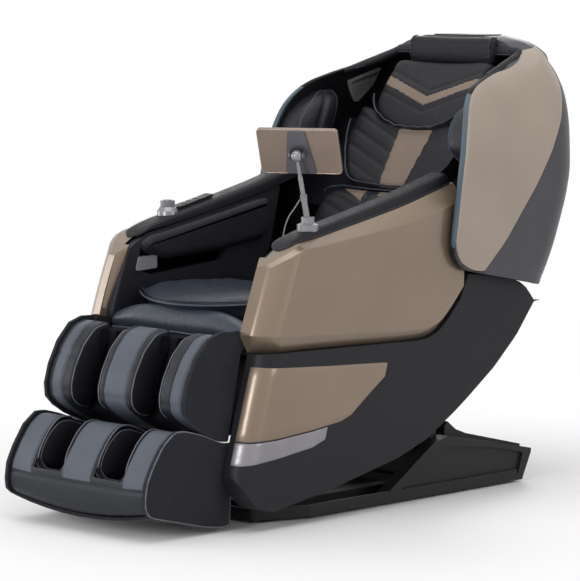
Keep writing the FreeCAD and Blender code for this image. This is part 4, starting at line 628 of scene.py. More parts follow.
@dataclass(frozen=True)
class Repeat:
    """Small pieces along a line or on points, made by Geometry Nodes."""

    name: str
    look: Finish
    sides: int = 6

    def _tree(self, along: bool) -> tuple[Tree, dict[str, str]]:
        """The node tree, and its inputs' names to their identifiers."""
        tree = bpy.data.node_groups.new(self.name, "GeometryNodeTree")
        face = tree.interface
        face.new_socket(name="Geometry", in_out="OUTPUT", socket_type="NodeSocketGeometry")
        face.new_socket(name="Geometry", in_out="INPUT", socket_type="NodeSocketGeometry")
        ids = {}
        for name in ("Pitch", "Length", "Width", "Height"):
            ids[name] = face.new_socket(name=name, in_out="INPUT", socket_type="NodeSocketFloat").identifier
        ids["Seed"] = face.new_socket(name="Seed", in_out="INPUT", socket_type="NodeSocketInt").identifier
        ins = node(tree, "NodeGroupInput").outputs
        size = node(tree, "ShaderNodeCombineXYZ", {"X": ins["Width"], "Y": ins["Height"], "Z": ins["Length"]})
        if along:
            line = node(tree, "GeometryNodeMeshToCurve", {"Mesh": ins["Geometry"]})
            spots = node(tree, "GeometryNodeCurveToPoints", {"Curve": line.outputs[0], "Length": ins["Pitch"]},
                         mode="LENGTH")
            points, turn = spots.outputs["Points"], spots.outputs["Rotation"]
            seed = node(tree, "GeometryNodeMeshUVSphere", {"Segments": self.sides, "Rings": 4, "Radius": 0.5})
        else:
            way = node(tree, "GeometryNodeInputNamedAttribute", {"Name": "way"}, data_type="FLOAT_VECTOR")
            turned = node(tree, "FunctionNodeAlignRotationToVector", {"Vector": way.outputs[0]}, axis="Z")
            points = node(tree, "GeometryNodeMeshToPoints", {"Mesh": ins["Geometry"]}).outputs[0]
            turn = turned.outputs[0]
            seed = node(tree, "GeometryNodeMeshCylinder", {"Vertices": self.sides, "Radius": 0.5, "Depth": 1.0})
        chance = node(tree, "FunctionNodeRandomValue", {2: 0.94, 3: 1.06, "Seed": ins["Seed"]}, data_type="FLOAT")
        scale = node(tree, "ShaderNodeVectorMath", {0: size.outputs[0], "Scale": chance.outputs[1]},
                     operation="SCALE")
        put = node(tree, "GeometryNodeInstanceOnPoints", {
            "Points": points, "Instance": seed.outputs["Mesh"], "Rotation": turn, "Scale": scale.outputs[0]})
        real = node(tree, "GeometryNodeRealizeInstances", {"Geometry": put.outputs[0]})
        coat = node(tree, "GeometryNodeSetMaterial", {"Geometry": real.outputs[0], "Material": self.look.material()})
        node(tree, "NodeGroupOutput", {0: coat.outputs[0]})
        return tree, ids

    def _make(self, data: bpy.types.Mesh, along: bool, sizes: dict[str, float]) -> Object:
        """Runs the tree on a mesh and returns the plain result."""
        piece = linked(self.name, data)
        tree, ids = self._tree(along)
        run = piece.modifiers.new("repeat", "NODES")
        run.node_group = tree
        for name, value in sizes.items():
            run[ids[name]] = value * MM
        run[ids["Seed"]] = REPEAT_SEED
        smoothed(settle(piece).data, 50)
        return piece

    def along(self, lines: Sequence[Sequence[Spot]], pitch: float, length: float, width: float = 0.8,
              height: float = 0.8) -> Object:
        """Beads such as stitches at an even pitch along lines in millimetres."""
        data, points, edges = bpy.data.meshes.new(self.name), [], []
        for line in lines:
            first = len(points)
            points += [tuple(float(c) * MM for c in p) for p in line]
            edges += [(first + i, first + i + 1) for i in range(len(line) - 1)]
        data.from_pydata(points, edges, [])
        return self._make(data, True, {"Pitch": pitch, "Length": length, "Width": width, "Height": height})

    def on(self, spots: Sequence[Spot], ways: Sequence[Spot], length: float, width: float,
           height: float) -> Object:
        """Pegs such as slats, ribs or screws at spots in millimetres, each along its own way."""
        data = bpy.data.meshes.new(self.name)
        data.from_pydata([tuple(float(c) * MM for c in p) for p in spots], [], [])
        data.attributes.new("way", "FLOAT_VECTOR", "POINT").data.foreach_set(
            "vector", np.asarray(ways, np.float32).ravel())
        return self._make(data, False, {"Pitch": 1, "Length": length, "Width": width, "Height": height})


def dress(look: Finish, *names: str) -> None:
    """Gives CAD nodes that stay in view a finish."""
    for name in names:
        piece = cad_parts[name]
        if not piece.material_slots:
            piece.data.materials.append(look.material())
        for spot in piece.material_slots:
            spot.link = "OBJECT"
            spot.material = look.material()
        LOG.info("%s: %s", name, look.name)


def carved(piece: Object, *tools: Object) -> Object:
    """Cuts closed tools out of a piece and removes them."""
    for tool in tools:
        cut = piece.modifiers.new("cut", "BOOLEAN")
        cut.operation, cut.object, cut.solver = "DIFFERENCE", tool, "EXACT"
        settle(piece)
        bpy.data.objects.remove(tool)
    smoothed(piece.data, 38)
    return piece


def painted(piece: Object, looks: Sequence[Finish],
            rule: Callable[[np.ndarray, np.ndarray], np.ndarray]) -> Object:
    """Gives each face a finish by where it is.

    Args:
        piece: the mesh.
        looks: its finishes.
        rule: from face centres in millimetres and normals to finish numbers.

    Returns:
        The same piece.
    """
    coated(piece, [look.material() for look in looks])
    centres = np.array([f.center for f in piece.data.polygons]) * 1000
    normals = np.array([f.normal for f in piece.data.polygons])
    piece.data.polygons.foreach_set("material_index", rule(centres, normals).astype(np.int32))
    return piece


def rim(sheet: np.ndarray) -> np.ndarray:
    """The points round the edge of a sheet, in order."""
    return np.vstack([sheet[0], sheet[1:-1, -1], sheet[-1][::-1], sheet[1:-1, 0][::-1]])


def cushion(shape: Shape, line: Line, x: float, half: float, deep: float, count: int,
            steps: int) -> Shape:
    """Adds a pillow with a (y, z) outline, its seam in the plane at x and its two faces swollen by half.

    Args:
        shape: the mesh that gets the pillow.
        line: the seam's outline.
        x: the seam's plane.
        half: how far each face swells.
        deep: how far in from the seam the swelling reaches.
        count: points round the outline.
        steps: rings on each face.

    Returns:
        The same shape.
    """
    p = ringed(line, 12, count)
    turns = np.linspace(-np.pi / 2, np.pi / 2, 2 * steps + 1)
    return shape.loft([at_x(shrunk(p, deep * (1 - math.cos(a)) * 0.98), x + half * math.sin(a)) for a in turns])


# The room and the camera


@dataclass
class Studio:
    """A pale floor, soft lights and a long lens from the front left."""

    camera_at: Spot = (5.889, -6.080, 1.436)
    camera_turn: Spot = (83.91, 0.0, 44.8)
    lens: float = 198.28
    ambient: float = 0.36
    lamps: tuple[tuple[str, Spot, Spot, float, float], ...] = (
        ("top_light", (0.4, -0.6, 4.2), (0.0, -0.2, 0.5), 4.0, 96.0),
        ("left_light", (-5.2, -2.8, 1.4), (0.0, -0.3, 0.6), 2.2, 62.0),
        ("front_light", (0.7, -5.6, 2.0), (0.1, -0.3, 0.6), 1.4, 72.0),
        ("side_light", (5.4, 1.2, 2.4), (0.2, -0.2, 0.6), 2.6, 46.0),
        ("rear_light", (-3.6, 4.4, 3.0), (0.0, 0.2, 0.6), 2.6, 52.0))

    def build(self) -> None:
        """Makes the camera, the lights, the floor and the world."""
        scene = bpy.context.scene
        scene.view_settings.view_transform = "Standard"
        lens = bpy.data.cameras.new("camera")
        lens.lens, lens.sensor_width, lens.clip_end = self.lens, 36.0, 200.0
        camera = linked("camera", lens)
        camera.location = self.camera_at
        camera.rotation_euler = [math.radians(a) for a in self.camera_turn]
        scene.camera = camera
        for lamp in self.lamps:
            self._lamp(*lamp)
        self._floor()
        self._world()

    def _lamp(self, name: str, at: Spot, to: Spot, size: float, power: float) -> None:
        """One soft square lamp."""
        light = bpy.data.lights.new(name, "AREA")
        light.size, light.energy = size, power
        lamp = linked(name, light)
        lamp.location = at
        lamp.rotation_euler = (Vector(to) - Vector(at)).to_track_quat("-Z", "Y").to_euler()

    def _seen(self, tree: Tree) -> Socket:
        """1 for the camera, mirrors and glass, 0 for the light that surfaces get."""
        ray = node(tree, "ShaderNodeLightPath").outputs
        two = node(tree, "ShaderNodeMath", {0: ray["Is Camera Ray"], 1: ray["Is Glossy Ray"]}, operation="MAXIMUM")
        return node(tree, "ShaderNodeMath", {0: two.outputs[0], 1: ray["Is Transmission Ray"]},
                    operation="MAXIMUM").outputs[0]

    def _floor(self) -> None:
        """The floor, which fades into the white background away from the chair."""
        shape = Shape("floor", BASE_DARK)
        ring = [(40000 * math.cos(a), 40000 * math.sin(a), 0.0) for a in circle(64)]
        shape.grid(np.array([ring, [(c[0] * 0.00001, c[1] * 0.00001, 0.0) for c in ring]]), 0, wrap=True)
        made = shape.made()
        paper = bpy.data.materials.new("pale_floor")
        paper.use_nodes = True
        tree = paper.node_tree
        tree.nodes.clear()
        place = node(tree, "ShaderNodeTexCoord").outputs["Object"]
        far = node(tree, "ShaderNodeVectorMath", {0: place}, operation="LENGTH").outputs["Value"]
        fade = node(tree, "ShaderNodeMapRange", {"Value": far, "From Min": 0.6, "From Max": 1.7},
                    interpolation_type="SMOOTHSTEP").outputs[0]
        share = node(tree, "ShaderNodeMath", {0: fade, 1: self._seen(tree)}, operation="MULTIPLY").outputs[0]
        matt = node(tree, "ShaderNodeBsdfPrincipled", {"Base Color": (0.94, 0.94, 0.94, 1), "Roughness": 0.6})
        glow = node(tree, "ShaderNodeEmission", {"Color": (1, 1, 1, 1), "Strength": 1.0})
        mixed = node(tree, "ShaderNodeMixShader", {0: share, 1: matt.outputs[0], 2: glow.outputs[0]})
        node(tree, "ShaderNodeOutputMaterial", {"Surface": mixed.outputs[0]})
        coated(made, [paper])
        if made.data.polygons[0].normal.z < 0:
            made.data.flip_normals()

    def _world(self) -> None:
        """Even light from all round, white where it is seen."""
        world = bpy.data.worlds.new("studio")
        bpy.context.scene.world = world
        world.use_nodes = True
        tree = world.node_tree
        tree.nodes.clear()
        level = node(tree, "ShaderNodeMapRange", {"Value": self._seen(tree), "To Min": self.ambient, "To Max": 1.0})
        sky = node(tree, "ShaderNodeBackground", {"Color": (1, 1, 1, 1), "Strength": level.outputs[0]})
        node(tree, "ShaderNodeOutputWorld", {"Surface": sky.outputs[0]})


@dataclass
class TabletCable:
    """The thin cable that hangs from the stand, loops on the seat and rises into the arm."""

    exit: Spot = (0.26366, -0.37740, 0.81364)
    route: tuple[Spot, ...] = (
        (243, -376, 789), (219, -375, 766), (206, -377, 736), (203, -381, 700), (206, -386, 661), (204, -392, 622),
        (201, -395, 587), (184, -395, 563), (147, -381, 558), (102, -352, 558), (58, -339, 558), (24, -354, 558),
        (22, -388, 558), (60, -413, 558), (104, -434, 558), (149, -462, 558), (184, -484, 561), (208, -493, 575),
        (219, -493, 595), (235, -492, 602))
    diameter: float = 0.0032
    length: float = 0.734

    def build(self) -> None:
        """Lays the cable on its smooth route."""
        line = bpy.data.curves.new("tablet_cable_line", "CURVE")
        line.dimensions, line.bevel_depth, line.bevel_resolution = "3D", self.diameter / 2, 3
        line.resolution_u = 8
        run = line.splines.new("NURBS")
        spots = [self.exit] + [tuple(c * MM for c in p) for p in self.route]
        run.points.add(len(spots) - 1)
        for point, spot in zip(run.points, spots):
            point.co = (*spot, 1.0)
        run.order_u = 3
        run.use_endpoint_u = True
        line.materials.append(CABLE_GREY.material())
        piece = linked("tablet_cable_line", line)
        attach(piece, "seat")
        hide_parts("tablet_cable")
        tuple(self.exit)
        LOG.info("tablet_cable_line: cord of %.3f m", self.length)


# The lower body


@dataclass
class SideBody:
    """A side of the lower body: a dark shell with a rounded nose, a bronze panel and a silver stripe."""

    inner: float = 268.0
    outer: float = 336.0
    bend: float = 52.0
    front: float = -573.0
    level: float = 430.0
    lean: float = 0.297
    top: Rows = ((-573, 438), (-550, 440.3), (-420, 438.4), (-20, 429.4), (20, 432.4), (60, 446.4), (93, 471.4),
                 (150.6, 530), (152, 592), (300, 575), (380, 555), (408, 538), (426, 519), (443, 499))
    low: Rows = ((-662, 150), (-654, 128), (-636, 96), (-600, 60), (-545, 45), (-468, 58), (-351, 76), (-232, 101),
                 (-94, 130), (13, 166), (120, 226), (177, 262), (280, 332), (370, 410), (443, 497))
    panel_top: Rows = ((-700, 417), (-640, 413), (-531, 405), (-348, 394), (-148, 384.5), (-131, 382), (-121, 374),
                       (-119.5, 367))
    panel_low: Rows = ((-700, 233), (-621, 227), (-531, 228), (-409, 237), (-305, 249), (-268, 262), (-221, 296),
                       (-132, 356), (-121, 364), (-119.5, 367))
    stripe_top: Rows = ((-700, 229.5), (-621, 223.5), (-531, 224.5), (-409, 233.5), (-296, 246))
    stripe_low: Rows = ((-700, 171), (-640, 169), (-531, 178), (-409, 193), (-347, 214), (-296, 246))

    def _plan(self, lift: float, start: float, end: float, columns: int) -> list[tuple[float, float]]:
        """Places back from the leaning front edge with their x, round the nose and along the side."""
        spots = []
        r = self.bend + lift
        for a in np.linspace(max(0.0, start), math.pi / 2, 12):
            spots.append((self.bend - r * math.cos(a), self.outer - self.bend + r * math.sin(a)))
        spots += [(d, self.outer + lift) for d in np.linspace(self.bend, end - self.front, columns)[1:]]
        return spots

    def _height(self, rows: Rows, q: float) -> float:
        """Where a boundary stands on the leaning line that starts at q."""
        z = 300.0
        for _ in range(40):
            z = float(straight(rows, q - self.lean * (self.level - z)))
        return z

    def _skin(self, lift: float, start: float, end: float, top: Rows, low: Rows, columns: int, rows: int,
              inset: float = 0.0) -> np.ndarray:
        """A sheet of points over the side between two boundaries, rows from low to high."""
        sheet = []
        for d, x in self._plan(lift, start, end, columns):
            q = d + self.front
            z0, z1 = self._height(low, q) + inset, self._height(top, q) - inset
            z1 = max(z1, z0 + 0.05)
            zs = z0 + (z1 - z0) * np.linspace(0, 1, rows)
            sheet.append([(x, q - self.lean * (self.level - z), z) for z in zs])
        return np.array(sheet).transpose(1, 0, 2)

    def _layer(self, shape: Shape, lift: float, under: float, end: float, top: Rows, low: Rows) -> None:
        """A closed skin between two depths whose visible rim is rounded."""
        rings = []
        for depth, inset in ((under, 0.0), (lift - 1.2, 0.0), (lift - 0.4, 0.35), (lift, 1.2)):
            skin = self._skin(depth, 0.12, end - inset, top, low, 46, 9, inset)
            rings.append(rim(skin))
            last = skin
        shape.loft(rings, caps=False)
        shape.grid(last)
        shape.grid(self._skin(under, 0.12, end, top, low, 46, 9))

    def build(self, side: int) -> None:
        """Makes one side's dark shell."""
        tag = letter(side)
        shell = Shape(f"side_shell_skin_{tag}", BODY_DARK)
        outer = self._skin(0.0, 0.0, 443, self.top, self.low, 90, 26, 1.0)
        wide = self._skin(-1.2, 0.0, 443.4, self.top, self.low, 90, 26, 0.0)
        flat = wide.copy()
        flat[:, :, 0] = self.inner
        shell.loft([rim(outer), rim(wide), rim(flat)], 0, caps=False)
        shell.grid(outer)
        shell.grid(flat)
        place(shell.made(side, 34), "seat", "dark_shell", f"side_shell_{tag}")

    def trims(self) -> None:
        """Makes both bronze panels and both silver stripes."""
        for name, look, lift, end, top, low, slot, cad in (
                ("lower_panel_skins", BRONZE, 1.2, -119.5, self.panel_top, self.panel_low, "bronze_gloss",
                 "lower_panels"),
                ("side_trim_skins", SILVER, 1.0, -297, self.stripe_top, self.stripe_low, "silver_trim",
                 "side_trims")):
            shape = Shape(name, look)
            self._layer(shape, lift, -5.0, end, top, low)
            place(shape.both().made(1, 32), "seat", slot, cad)


@dataclass
class Arm:
    """An arm: a hollow gloss shell with a lining, an open slot for the forearm and a padded top."""

    inner: float = 262.0
    wall: float = 4.0
    front: Rows = ((436, -562), (486, -590.5), (532, -575), (600, -550), (656, -528), (740, -496))
    plan: Rows = ((0, 262.6), (5.4, 292), (6.2, 295), (9, 300), (14, 307), (22, 317), (32, 328), (45, 338.5), (60, 345),
                  (700, 345))
    top: Rows = ((-540, 646), (-528, 652), (-484, 681), (-438, 705), (-370, 715), (-283, 731), (-50, 777), (150, 829))
    low: Rows = ((-580, 440), (-420, 439), (-20, 430), (20, 433), (60, 447), (93, 472), (150, 530))
    bevel: Rows = ((-590, 46), (-462, 40), (18, 29), (150, 29))
    chamfer: Rows = ((-590, 5), (-480, 9), (-344, 17), (15, 40), (150, 42))
    slope: Rows = ((-590, 8), (-480, 18), (-344, 36), (15, 42), (150, 42))
    rise: Rows = ((-488, 3), (-470, 5), (-438, 10), (-400, 17), (-370, 21), (-283, 24), (-50, 31), (128, 33), (140, 33))
    tunnel: Rows = ((-470, 606), (-458, 668), (-400, 688), (-160, 700), (-140, 680), (-160, 610), (-420, 588))

    def _back(self, z: float | np.ndarray, deep: float) -> np.ndarray:
        """Where a point deep behind the leaning front edge stands; the lean fades towards the rear."""
        t = np.clip((deep - 60) / 260, 0, 1)
        return deep - 550 + (straight(self.front, z) + 550) * (1 - t * t * (3 - 2 * t))

    def _edge(self, rows: Rows, deep: float) -> tuple[float, float]:
        """Height and place where a boundary crosses the line deep behind the front edge."""
        z = 600.0
        for _ in range(30):
            z = float(eased(rows, self._back(z, deep)))
        return z, float(self._back(z, deep))

    def _section(self, deep: float) -> np.ndarray:
        """The C-shaped ring of the shell deep behind the front edge."""
        (low, y0), (top, y1) = self._edge(self.low, deep), self._edge(self.top, deep)
        out = float(straight(self.plan, deep))
        inner = self.inner - min(deep, 20.0) if deep < 24.1 else self.inner
        width = out - inner
        bevel, chamfer = float(eased(self.bevel, y0)), float(eased(self.chamfer, y1))
        under, slope = min(25.0, 0.62 * width), min(float(eased(self.slope, y1)), 0.7 * width)
        t = np.linspace(0, 1, 9)
        face = np.column_stack([out - 1.4 * (2 * t - 1) ** 2, low + bevel + t * (top - chamfer - low - bevel)])
        line = np.vstack([[(self.inner, low), (out - under, low)], face, [(out - slope, top), (inner, top)]])
        ring = rounded(line, min(2.6, 0.3 * width), closed=False, steps=3, hold=range(3, 10))
        share = float(np.clip(min((deep - 30) / 14, (700 - self.wall - deep) / 2), 0, 1))
        room = np.array([(out - under, low), (out, low + bevel), (out, top - chamfer), (out - slope, top)])
        room[:, 0] = inner + share * (room[:, 0] - self.wall - inner)
        room[:, 1] = np.clip(room[:, 1], low + self.wall, top - self.wall)
        if share == 0:
            room[:2, 0], room[1, 1] = self.inner, max(room[1, 1], 508.0)
        ring = np.vstack([ring, (inner, top - self.wall), room[::-1], (self.inner, low + self.wall)])
        return np.insert(ring, 1, self._back(ring[:, 1], deep), axis=1)

    def shell(self, side: int) -> None:
        """Makes the gloss shell."""
        tag = letter(side)
        nose = [0, 0.6, 2.5, 5, 5.8, 6.6, 9, 12, 16, 19.6, 20.4, 24, 24.2, 28, 32, 37, 42, 47, 53, 60]
        deeps = np.concatenate([nose, np.linspace(68, 300, 30), np.linspace(310, 696, 44), [698, 700]])
        rings = np.array([self._section(deep) for deep in deeps])
        looks = np.zeros((len(deeps) - 1, rings.shape[1]), int)
        looks[deeps[1:] > 26, -7:] = 1
        shape = Shape(f"arm_shell_skin_{tag}", BRONZE, INNER_DARK_AND_SHADE)
        shape.loft(rings, looks)
        place(shape.made(side, 22), "seat", "bronze_gloss", f"arm_shell_{tag}")

    def pad(self, side: int) -> None:
        """Makes the padded top with its seam, piping and stitches."""
        tag = letter(side)
        shape = Shape(f"arm_pad_cover_{tag}", CHARCOAL, PIPING_NAVY)
        rings, seam, stitch = [], [], []
        turns = np.linspace(0, np.pi, 15)
        for y in np.concatenate([-474 + 26 * (1 - np.cos(np.linspace(0, np.pi / 2, 9))), np.linspace(-448, 118, 60)[1:],
                                 118 + 22 * np.sin(np.linspace(0, np.pi / 2, 8))[1:]]):
            tip = math.sqrt(max(0.0, 1 - ((-448 - y) / 26.5) ** 2)) if y < -448 else 1.0
            tail = math.sqrt(max(0.0, 1 - ((y - 118) / 22.6) ** 2)) if y > 118 else 1.0
            share = max(0.12, tip * tail)
            base = float(eased(self.top, y)) + 0.2
            high = float(eased(self.rise, y)) * max(0.25, share) ** 0.7
            x0, x1 = 236 + 32 * (1 - tip) + 2 * (1 - tail), 302 - 26 * (1 - tip) - 3 * (1 - tail)
            middle, half = 0.5 * (x0 + x1), 0.5 * (x1 - x0) * (1 if y > -448 else max(share, 0.2))
            xs = middle + half * np.sign(np.cos(turns)) * np.abs(np.cos(turns)) ** 0.55
            zs = base + high * np.sin(turns) ** 0.5
            rings.append(np.column_stack([xs, np.full(15, y), zs]))
            seam.append((middle + half + 0.4, y, base + 2.2))
            stitch.append((middle + half * 0.93, y, base + high * 0.84))
        shape.loft(rings)
        shape.tube(seam[2:-2], 2.0, 1)
        place(shape.made(side, 60), "seat", "charcoal_leather", f"arm_pad_{tag}", fill=0.7)
        line = [(side * x, y, z + 0.6) for x, y, z in stitch[8:-6]]
        thread = Repeat(f"arm_pad_stitches_{tag}", THREAD_DARK).along([line], 7.0, 4.6, 0.9, 0.9)
        place(thread, "seat", "charcoal_leather")

    def lining(self, side: int) -> None:
        """Makes the inner lining with its slot and the airbag that closes on the forearm."""
        tag = letter(side)
        shape = Shape(f"arm_lining_{tag}", BAG_BLACK)
        heights = np.array([470, 500, 530, 565, 600, 635, 662], float)
        rings = []
        for x, deep, inset in ((261.8, 24.5, 0.0), (247, 24.5, 0.0), (244, 25, 0.6), (242.6, 25.5, 1.6),
                               (242, 26, 4.0)):
            front = np.column_stack([straight(self.front, heights) + deep, heights])
            rear = [(-484, 673), (-438, 699), (-370, 711), (-283, 728), (-50, 774), (60, 802), (20, 640),
                    (-15, 560), (-15, 484), (-44, 453), (-418, 449), (-478 + 0.4 * deep, 458)]
            rings.append(at_x(shrunk(ringed(np.vstack([front, rear]), 10, 240), inset), x))
        shape.loft(rings)
        cut = Shape("slot_tool", BAG_BLACK)
        cut.block(rounded(self.tunnel, 14), 225, 270)
        body = carved(shape.made(side, 40), cut.made(side))
        place(body, "seat", "charcoal_leather", f"arm_airbag_{tag}", fill=0.5)
        bags = Shape(f"arm_airbags_{tag}", BAG_BLACK, PIPING_NAVY)
        upper = [(-452, 652), (-460, 676), (-436, 694), (-362, 705), (-176, 740), (-41, 766), (4, 770), (12, 700),
                 (-18, 660), (-169, 640), (-272, 634), (-380, 628)]
        cushion(bags, upper, 243, 17, 22.0, 120, 8)
        bags.tube(at_x(ringed(upper, 12, 120), 242.0), 1.4, 1, closed=True, sides=6)
        place(bags.made(side, 60), "seat", "charcoal_leather", fill=0.8)


# The hood and the backrest


@dataclass
class Hood:
    """The hood: a dark shell with bronze sides, blue-grey rims, airbags at the shoulders and two speaker grilles."""

    half: float = 372.0
    wall: float = 20.0
    lip: float = 4.0
    step: float = 6.5
    narrow: Rows = ((520, 0), (800, 0), (900, -6), (950, -14), (1000, -27), (1050, -50), (1095, -82), (1130, -114),
                    (1160, -150), (1185, -202), (1200, -262))
    narrow_rear: Rows = ((520, 0), (850, 0), (950, -5), (1000, -12), (1050, -26), (1095, -50), (1130, -78),
                         (1160, -117), (1185, -166), (1200, -232))
    front: Rows = ((520, 84), (672, 84), (733, 92), (816, 105), (898, 124), (942, 136), (1009, 162), (1049, 193),
                   (1075, 232), (1095, 290), (1130, 420), (1160, 492), (1200, 494))
    rear: Rows = ((520, 484), (549, 493), (585, 514), (648, 547), (725, 579), (789, 601), (852, 613), (1100, 618),
                  (1160, 614), (1185, 606), (1200, 584))
    cut: Rows = ((543, 441), (587, 213), (601, 138), (618, 107), (642, 91), (668, 84), (690, 60))
    tip: Rows = ((596.5, 198), (600, 166), (608, 140), (624, 112), (645, 98), (666, 92), (690, 60))
    split: Rows = ((596.5, 201), (668, 284), (740, 347), (813, 411), (903, 476), (985, 520), (1080, 560), (1200, 574))

    def start(self, z: float) -> float:
        """Where the shell's front edge stands at this height."""
        return max(float(eased(self.front, z)) + self.lip, float(straight(self.cut, z)) if z < 690 else -1e9)

    def across(self, y: float | np.ndarray, z: float, wall: float = 0.0) -> np.ndarray:
        """Half the width of the hood at this place, drawn in by a wall."""
        edge, rear = float(eased(self.front, z)), float(eased(self.rear, z)) - wall
        bend = min(110 - wall, 0.6 * (rear - edge))
        wide = self.half + float(eased(self.narrow_rear, z)) - wall
        slim = self.half + float(eased(self.narrow, z)) - wall
        turn = rear - bend
        y = np.asarray(y, float)
        side = slim + (wide - slim) * np.clip((y - edge) / (turn - edge), 0, 1)
        deep = np.clip(y - turn, 0, bend)
        return np.where(y > turn, wide - bend + np.sqrt(bend**2 - deep**2), side)

    def _line(self, z: float, start: float, wall: float, count: int) -> np.ndarray:
        """Points of the plan outline from a place on the side round to the middle of the back."""
        rear = float(eased(self.rear, z)) - wall
        ys = start + (rear - start) * np.sin(np.linspace(0, np.pi / 2, 160))
        side = np.column_stack([self.across(ys, z, wall), ys])
        return evenly(np.vstack([side, [(0.0, rear)]]), count)

    def _under(self, z: float, start: float, split: float, wall: float) -> np.ndarray:
        """Points of the plan outline under the bronze side."""
        ys = np.linspace(start, split - 0.6, 14)
        return np.column_stack([self.across(ys, z, wall), ys])

    @staticmethod
    def _ring(parts: Sequence, z: float) -> np.ndarray:
        """A level ring from the parts of half a plan outline and their mirror image."""
        half = np.vstack(parts)
        ring = np.vstack([half, (half[::-1] * (-1, 1))[1:-1]])
        return np.column_stack([ring, np.full(len(ring), z)])

    def shell(self) -> None:
        """Makes the dark shell with the step that the bronze sides lie in."""
        shape = Shape("hood_shell_skin", HOOD_DARK, BODY_DARK)
        zs = np.concatenate([[544, 547, 552, 560], np.linspace(570, 1040, 48), np.linspace(1050, 1158, 20)])
        rings, count = [], 44
        for z in zs:
            start = self.start(z)
            split = max(start + 1.5, float(straight(self.split, z))) if z > 597 else start + 0.8
            outer = self._line(z, split, 1.5 if z < 546 else 0.0, count)
            under = self._under(z, start, split, min(self.step, 0.5 * (split - start)))
            rings.append(self._ring([self._line(z, start, self.wall, count)[::-1], under, outer], z))
        looks = np.zeros((len(zs) - 1, len(rings[0])), int)
        looks[:, :count] = looks[:, -count:] = 1
        shape.loft(rings, looks)
        rings = []
        for z, lift in ((1157.5, 0.0), (1165, 0.0), (1172, 0.0), (1179, 0.0), (1185, 0.0), (1190, 0.0), (1194, 0.0),
                        (1197.5, 0.0), (1199.4, 1.2), (1200, 4.0)):
            start, split = self.start(z), float(straight(self.split, z))
            under = self._under(z, start, split, self.step + lift)
            rings.append(self._ring([[(0.0, start)], under, self._line(z, split, lift, count)], z))
        shape.loft(rings, 0)
        place(shape.made(1, 30), "back", "hood_dark", "hood_shell")

    def panel(self, side: int) -> None:
        """Makes one bronze side."""
        tag = letter(side)
        shape = Shape(f"hood_panel_skin_{tag}", BRONZE_SATIN)
        zs = np.concatenate([[597, 598.5, 601, 605, 610, 617, 625, 635, 646, 658], np.linspace(668, 1060, 48)[1:],
                             np.linspace(1066, 1163, 18), np.linspace(1163, 1199.2, 9)[1:]])

        def sheet(wall: float, inset: float) -> np.ndarray:
            """The panel's points at a depth, drawn in from its edges; rows tilt to follow the roof's edge."""
            rows = []
            for z in zs:
                first = max(self.start(z) + 0.3, float(straight(self.tip, z)) if z < 690 else 0) + inset
                last = float(straight(self.split, z)) - 0.8 - inset
                ys = np.linspace(first, max(last, first + 0.2), 26)
                high = z + 0.2 * (ys - 506) * np.interp(z, [1110, 1163, 1199.2], [0, 1, 0])
                high = np.clip(high, 597 + inset, 1199.4 - inset)
                xs = [float(self.across(y, h, wall)) for y, h in zip(ys, high)]
                rows.append(np.column_stack([np.maximum(xs, 92.0), ys, high]))
            return np.array(rows)

        layers = [sheet(6.0, 0.0), sheet(1.8, 0.0), sheet(0.6, 0.5), sheet(0.0, 2.0)]
        shape.loft([rim(s) for s in layers], 0, caps=False)
        shape.grid(layers[-1])
        shape.grid(layers[0])
        piece = painted(shape.made(side, 32), (BRONZE_SATIN, HOOD_DARK),
                        lambda c, n: c[:, 2] > 1163.5 + 0.2 * (c[:, 1] - 506))
        place(piece, "back", "hood_bronze", f"hood_panel_{tag}")

    def rims(self) -> None:
        """Makes the two narrow blue-grey strips inside the hood's front edges; they end in black at the top, which is
        painted shade under the hood's top.
        """
        shape = Shape("hood_rim_strips", RIM_BLUE, INNER_DARK_AND_SHADE)
        zs = np.concatenate([np.linspace(664, 1040, 40), np.linspace(1046, 1128, 26)])
        a, rings = circle(16), []
        for z in zs:
            x, y = self.half + float(eased(self.narrow, z)) - 8.4, float(eased(self.front, z)) + 3.6
            tight = 0.35 if z in (zs[0], zs[-1]) else 1.0
            rings.append(np.column_stack([x + tight * 8.0 * np.sign(np.cos(a)) * np.abs(np.cos(a)) ** 0.6,
                                          y + tight * 4.6 * np.sign(np.sin(a)) * np.abs(np.sin(a)) ** 0.7,
                                          np.full(16, z)]))
        # Faces above z 1062 take the black finish: painted shade where the strips run up under the hood's top.
        looks = np.repeat((zs[1:] > 1062).astype(int)[:, None], 16, axis=1)
        shape.loft(rings, looks)
        place(shape.both().made(1, 50), "back", "rim_blue", "hood_rims")

    def header(self) -> None:
        """Makes the padded leather edge inside the hood's top with its piping."""
        shape = Shape("hood_header_roll", CHARCOAL, PIPING_NAVY)
        path, pipe = [], []
        for z in np.linspace(1100, 1158, 22):
            y = float(eased(self.front, z)) + 19
            x = float(self.across(y, z, self.wall)) - 6
            path.append((x, y, z))
            pipe.append((x - 7, y - 12, z - 4))
        last = path[-1]
        for x in np.linspace(last[0] - 8, 150, 14):
            path.append((x, 500, 1158 + 3 * math.sin((last[0] - x) / 60)))
            pipe.append((x, 486, 1152))
        shape.tube(path, np.interp(np.arange(len(path)), [0, 8, len(path)], [7, 13, 15]), 0, sides=14)
        shape.tube(pipe[4:], 2.2, 1, sides=8)
        place(shape.both().made(1, 60), "back", "navy_leather", fill=0.8)

